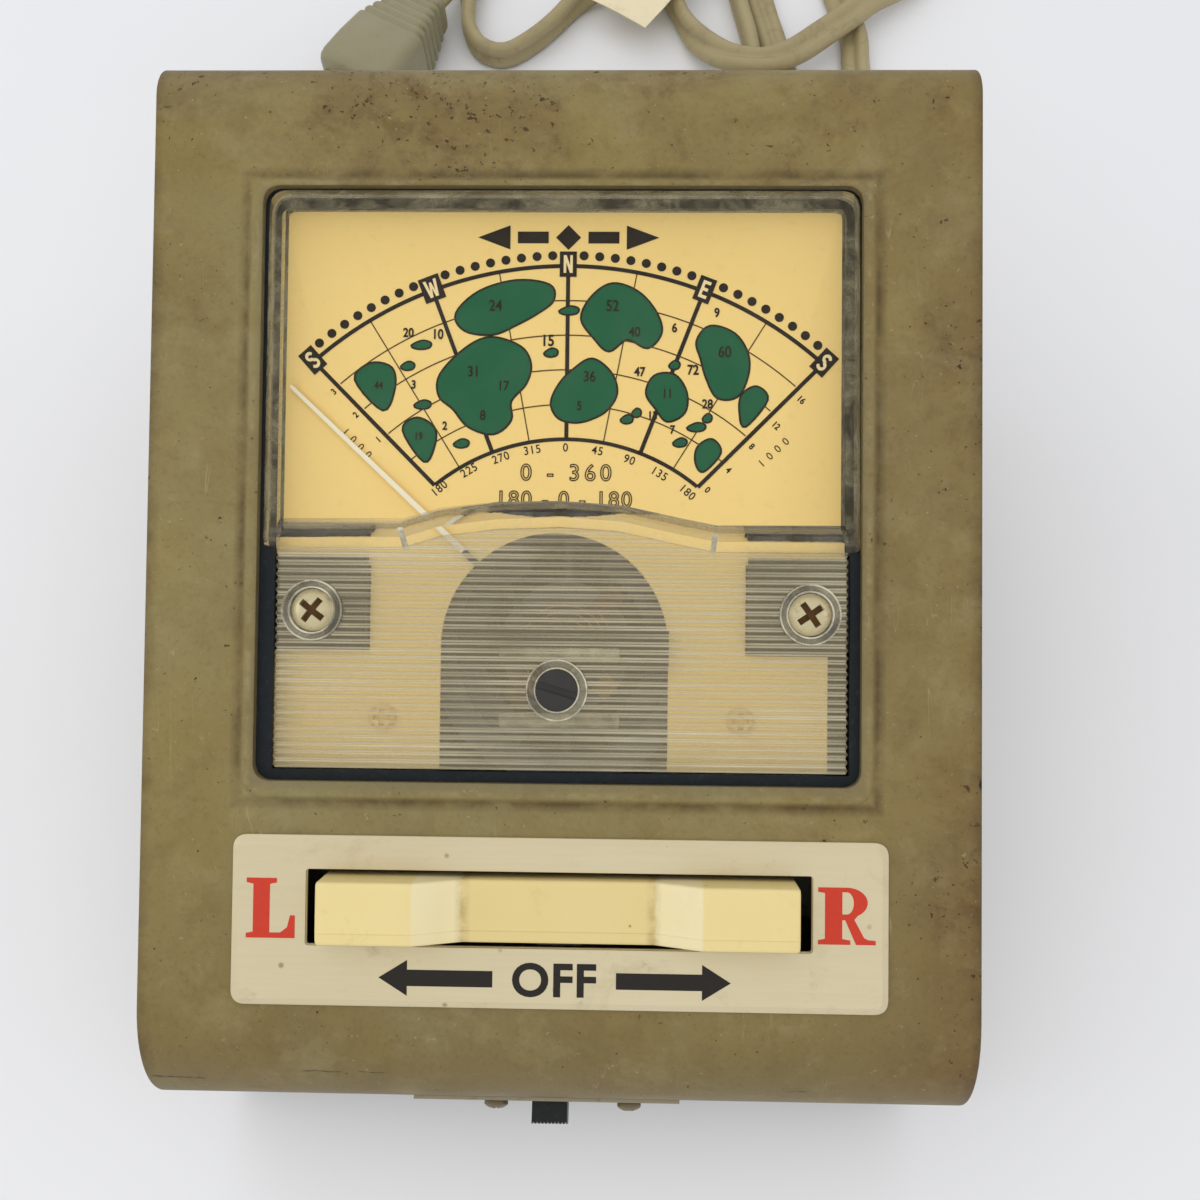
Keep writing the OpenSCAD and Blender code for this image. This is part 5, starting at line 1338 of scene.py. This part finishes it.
# generic green patches with dark outlines, and small plain numbers
def patch(pts, k=5, grow=0.16):
    """A smooth closed blob through round points, in panel millimetres."""
    p = np.array(pts, float)
    m = len(p)
    out = []
    for i in range(m):
        a, b, c, d = p[i - 1], p[i], p[(i + 1) % m], p[(i + 2) % m]
        for j in range(k):
            t = j / k
            out.append(0.5 * (2 * b + (c - a) * t + (2 * a - 5 * b + 4 * c - d) * t * t + (3 * b - a - 3 * c + d) * t ** 3))
    out = np.array(out)
    area = 0.5 * np.sum(out[:, 0] * np.roll(out[:, 1], -1) - np.roll(out[:, 0], -1) * out[:, 1])
    if area < 0:
        out = out[::-1]
    stamp("patch_edge", [inset(out, -grow * 1.8)], ZD + 0.015, thick=0.01)
    stamp("patch", [out], ZD + 0.03, thick=0.01)


def pp(*ra):
    return [pol(r, a) for r, a in ra]


patch(pp((49.5, -14), (50, -8), (49, -3), (47, -2.5), (45.5, -5), (44.2, -9), (43.5, -13.5), (45, -18), (47.5, -18.5)))
patch(pp((47.5, 4), (49.5, 7), (49, 11), (47, 14.5), (44.5, 16.5), (42, 15), (42.5, 11), (40.5, 8), (42, 5), (44.5, 2.5)))
patch(pp((42.5, -19), (43, -14), (41, -9), (38.5, -7.5), (36, -9), (34, -13), (31.5, -14), (30.4, -19), (32.5, -24), (35.5, -25.5), (38, -27), (40.5, -25)))
patch(pp((37.5, 1.5), (39, 5), (37.5, 9), (35, 11), (32.5, 9.5), (31, 6), (30.4, 2), (31, -2), (33, -3.5), (35.5, -1.5)))
patch(pp((47.5, 24), (48, 28), (46.5, 31.5), (44, 33.5), (41, 34), (39.5, 31), (41, 27.5), (43, 25), (45, 23)))
patch(pp((38.5, 18), (39.5, 21.5), (38, 25), (35.5, 26.5), (33.5, 24), (34.5, 20.5), (36, 17.5)))
patch(pp((46, -38.6), (46.5, -35), (44.5, -32.5), (42, -34), (40.5, -38.0)))
patch(pp((36.5, -37.2), (36.8, -33.5), (34.5, -31.5), (32.5, -33.5), (31.5, -37.6)))
patch(pp((43, 38.8), (43.5, 36), (41.5, 34.8), (39.5, 36.4), (38.5, 38.8)))
patch(pp((33.5, 38.2), (34.2, 35), (32.4, 33.4), (30.6, 35), (30.2, 37.8)))
for r, a, sx in ((45.3, -26, 1.2), (43.6, -29.8, 0.8), (38, -31, 1.0), (34.5, 30.5, 1.1), (31.6, 29, 0.8), (36.3, 31.5, 0.5), (30.8, -27.5, 0.9), (40.8, 20.8, 0.6), (45.5, 0.2, 1.2), (39.8, -3.2, 0.8), (31.8, 14.8, 0.7), (33.0, 16.6, 0.5)):
    x, y = pol(r, a)
    patch([(x - sx, y - 0.1), (x - sx * 0.3, y - 0.45), (x + sx * 0.8, y - 0.3), (x + sx, y + 0.25), (x + sx * 0.1, y + 0.5)], 4, 0.14)
for txt, r, a, h in (("10", 45.7, -22.5, 1.3), ("24", 47.2, -12, 1.5), ("31", 39.3, -19, 1.4), ("17", 36.2, -13.5, 1.3), ("8", 33.2, -20, 1.3), ("52", 46.6, 7.5, 1.5), ("40", 43.6, 12, 1.3),
                     ("36", 36.7, 4.8, 1.4), ("5", 32.6, 3, 1.2), ("60", 45.3, 28, 1.5), ("11", 36.9, 21.6, 1.2), ("72", 41.2, 24.4, 1.3), ("9", 49.6, 24, 1.2), ("20", 47.6, -27, 1.2), ("3", 41, -30.5, 1.1),
                     ("15", 41.5, -3.5, 1.5), ("2", 34, -29, 1.1), ("47", 38.5, 14.8, 1.2), ("6", 45.6, 18.5, 1.2), ("28", 38, 30, 1.2), ("13", 33.4, 20.5, 1.1), ("7", 32.7, 26, 1.1), ("44", 43.5, -36.0, 1.0), ("19", 34.6, -35.2, 1.0)):
    x, y = pol(r, a)
    write("num_bold", txt, x, y, h, ZD + 0.06, 0, 0.05, 0.85, 1.0)
# title place: plain direction ornament
ty = 103.2
stamp("ink", [[(-12.0, ty), (-7.6, ty + 1.65), (-7.6, ty - 1.65)]], ZD)
stamp("ink", [[(12.6, ty), (8.2, ty - 1.65), (8.2, ty + 1.65)]], ZD)
stamp("ink", [rect(-6.6, -2.4, ty - 0.8, ty + 0.8)], ZD)
stamp("ink", [rect(3.0, 7.2, ty - 0.8, ty + 0.8)], ZD)
stamp("ink", [[(0.3, ty + 1.7), (-1.4, ty), (0.3, ty - 1.7), (2.0, ty)]], ZD)

dial = slab("dial_face", round_poly(rect(-38.9, 37.8, 31.2, 107.0), 1, 4), -5.0, -4.5, M["dial"], 0.06, 2, (), panel)
cut(dial, prism(circle(-1, PV[1], 15.3, 72), -8, 0), prism(rect(-16.3, 14.3, 31, PV[1] + 0.1), -8, 0), prism(rect(-40.2, -25.9, 46.9, 58.7), -8, 0),
    prism(rect(24.6, 40.6, 46.7, 58.9), -8, 0), prism(rect(35.6, 41.6, 30, 50), -8, 0))
smooth(dial, 30)
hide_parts("dial_plate")
print_piece("dial_lines", "ink", M["ink"])
print_piece("dial_thin_lines", "thin", M["ink_thin"])
print_piece("dial_squares", "square", M["ink"])
print_piece("dial_letters", "cream", M["cream"])
print_piece("dial_patch_edges", "patch_edge", M["ink"])
print_piece("dial_patches", "patch", M["green"])
text_piece("dial_numbers", "num", M["ink"])
text_piece("dial_numbers_bold", "num_bold", M["ink"])
text_piece("dial_outlined", "outline", M["ink_thin"])

# ------------------------------------------------------------ power switch
def front(p):
    """Front-face coordinates: across, up, out of the face."""
    p = np.asarray(p, float)
    return raw(np.stack([p[..., 0], -p[..., 2], p[..., 1]], -1))


prof = [(-2.5, 0.0)]
for i in range(10):
    a = -2.5 + 0.5 * i
    prof += [(a + 0.12, 0.0), (a + 0.2, -0.28), (a + 0.36, -0.28), (a + 0.44, 0.0)]
prof = prof + [(2.5, 0.0)]
top = [(-1.55 + x, 3.5 + d) for x, d in prof]
outline = [(-4.05, -3.0)] + [(0.95, -3.0)] + top[::-1]
kn = [np.column_stack([[p[0] for p in outline], np.full(len(outline), z), [p[1] for p in outline]]) for z in (23.0, 23.12, 27.88, 28.0)]
kn[0][:, 2] = np.minimum(kn[0][:, 2], 3.38)
kn[3][:, 2] = np.minimum(kn[3][:, 2], 3.38)
v, f = rings_to_mesh(kn)
knob = make("slide_knob_ribbed", front(v), f, M["knob"], "slide_knob", 25)
base = slab("slide_knob_base", rect(-5.75, 2.65, 22.3, 28.7), -4.6, -2.9, M["knob"], 0, 2, (), front, "slide_knob")
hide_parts("power_switch_knob")
for s_, nm in ((-1, "left"), (1, "right")):
    o = screw("switch_screw_" + nm, 0.15 + s_ * 9.5, 25.5, 0.5, 1.7, 1.15, 30 + 25 * s_, M["aged_screw"], front, shaft=0.8, ls=3.6, slot_w=0.45)
    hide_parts("power_switch_screws")

# ------------------------------------------------------------ carried-over pieces
KEEP = {
    "side_panel_left": "side", "side_panel_right": "side", "base_plate": "zinc", "base_screws": "screw", "rubber_feet": "rubber",
    "feet_screws": "screw", "power_plate": "switch_plate", "power_switch_frame": "zinc", "power_switch_body": "phenolic",
    "rocker_pin": "screw", "rocker_bracket": "zinc", "microswitches": "black", "left_plunger": "red", "right_plunger": "red",
    "meter_gasket": "foam", "zero_lever": "brass", "meter_base": "black", "meter_studs": "zinc", "meter_nuts": "zinc",
    "dial_screws": "dial_paint", "moving_coil": "copper", "hairsprings": "bronze", "pole_core": "iron", "magnet_poles": "magnet",
    "yoke_ring": "iron", "top_bridge": "bridge", "meter_terminals": "brass", "transformer_core": "iron", "transformer_winding": "winding",
    "transformer_frame": "zinc", "transformer_screws": "screw", "motor_capacitor": "can", "capacitor_clamp": "zinc",
    "circuit_board": "board", "board_spacers": "bridge", "filter_capacitor": "blue", "rectifier": "black", "fuse": "fuse",
    "fuse_clips": "brass", "trimmer_body": "dark", "trimmer_shaft": "brass", "terminal_block": "black", "terminal_screws": "screw",
    "strain_relief": "rubber", "plug_blades": "brass"}
for name, key in KEEP.items():
    o = NODES[name]
    o.data.materials.clear()
    o.data.materials.append(M[key])
    smooth(o, 30)

# ------------------------------------------------------------ floor and light
fm = Mat("floor_card", lin(236, 236, 236), 0.55, 0, 0.25)
fm.color(fm.mix(fm.noise(5, 4, 0.6), lin(230, 230, 231), lin(240, 240, 241)))
fm.rough(fm.math("ADD", fm.math("MULTIPLY", fm.noise(9, 3), 0.15), 0.45))
me = bpy.data.meshes.new("floor")
me.from_pydata([(-30, -30, 0), (30, -30, 0), (30, 30, 0), (-30, 30, 0)], [], [(0, 1, 2, 3)])
floor = bpy.data.objects.new("floor", me)
scene.collection.objects.link(floor)
me.materials.append(fm.m)

world = bpy.data.worlds.new("world")
scene.world = world
world.use_nodes = True
bg = world.node_tree.nodes["Background"]
bg.inputs["Color"].default_value = (0.93, 0.95, 1.0, 1)
bg.inputs["Strength"].default_value = 0.56


def area(name, loc, target, size, power, color=(1, 1, 1), glossy=True):
    d = bpy.data.lights.new(name, "AREA")
    d.shape = "RECTANGLE"
    d.size, d.size_y = size
    d.energy = power
    d.color = color
    o = bpy.data.objects.new(name, d)
    o.location = loc
    o.rotation_mode = "QUATERNION"
    o.rotation_quaternion = (Vector(target) - Vector(loc)).to_track_quat("-Z", "Y")
    o.visible_glossy = glossy
    scene.collection.objects.link(o)


area("overhead", (-0.15, -0.22, 1.25), (0, 0.0, 0), (2.2, 1.8), 10.8, (1.0, 0.99, 0.97), False)
area("front_soft", (0.05, -1.3, 0.75), (0, -0.1, 0), (1.6, 0.9), 1.9, (1, 1, 1), False)
area("rear_soft", (-0.25, 1.15, 0.85), (0, 0, 0.05), (1.3, 0.7), 1.8, (1.0, 0.99, 0.97))
area("left_soft", (-1.15, 0.05, 0.55), (0, 0, 0.05), (0.8, 0.6), 1.2)
area("right_soft", (1.15, 0.05, 0.55), (0, 0, 0.05), (0.8, 0.6), 0.9)
scene.view_settings.view_transform = "Standard"
scene.view_settings.exposure = 0.0
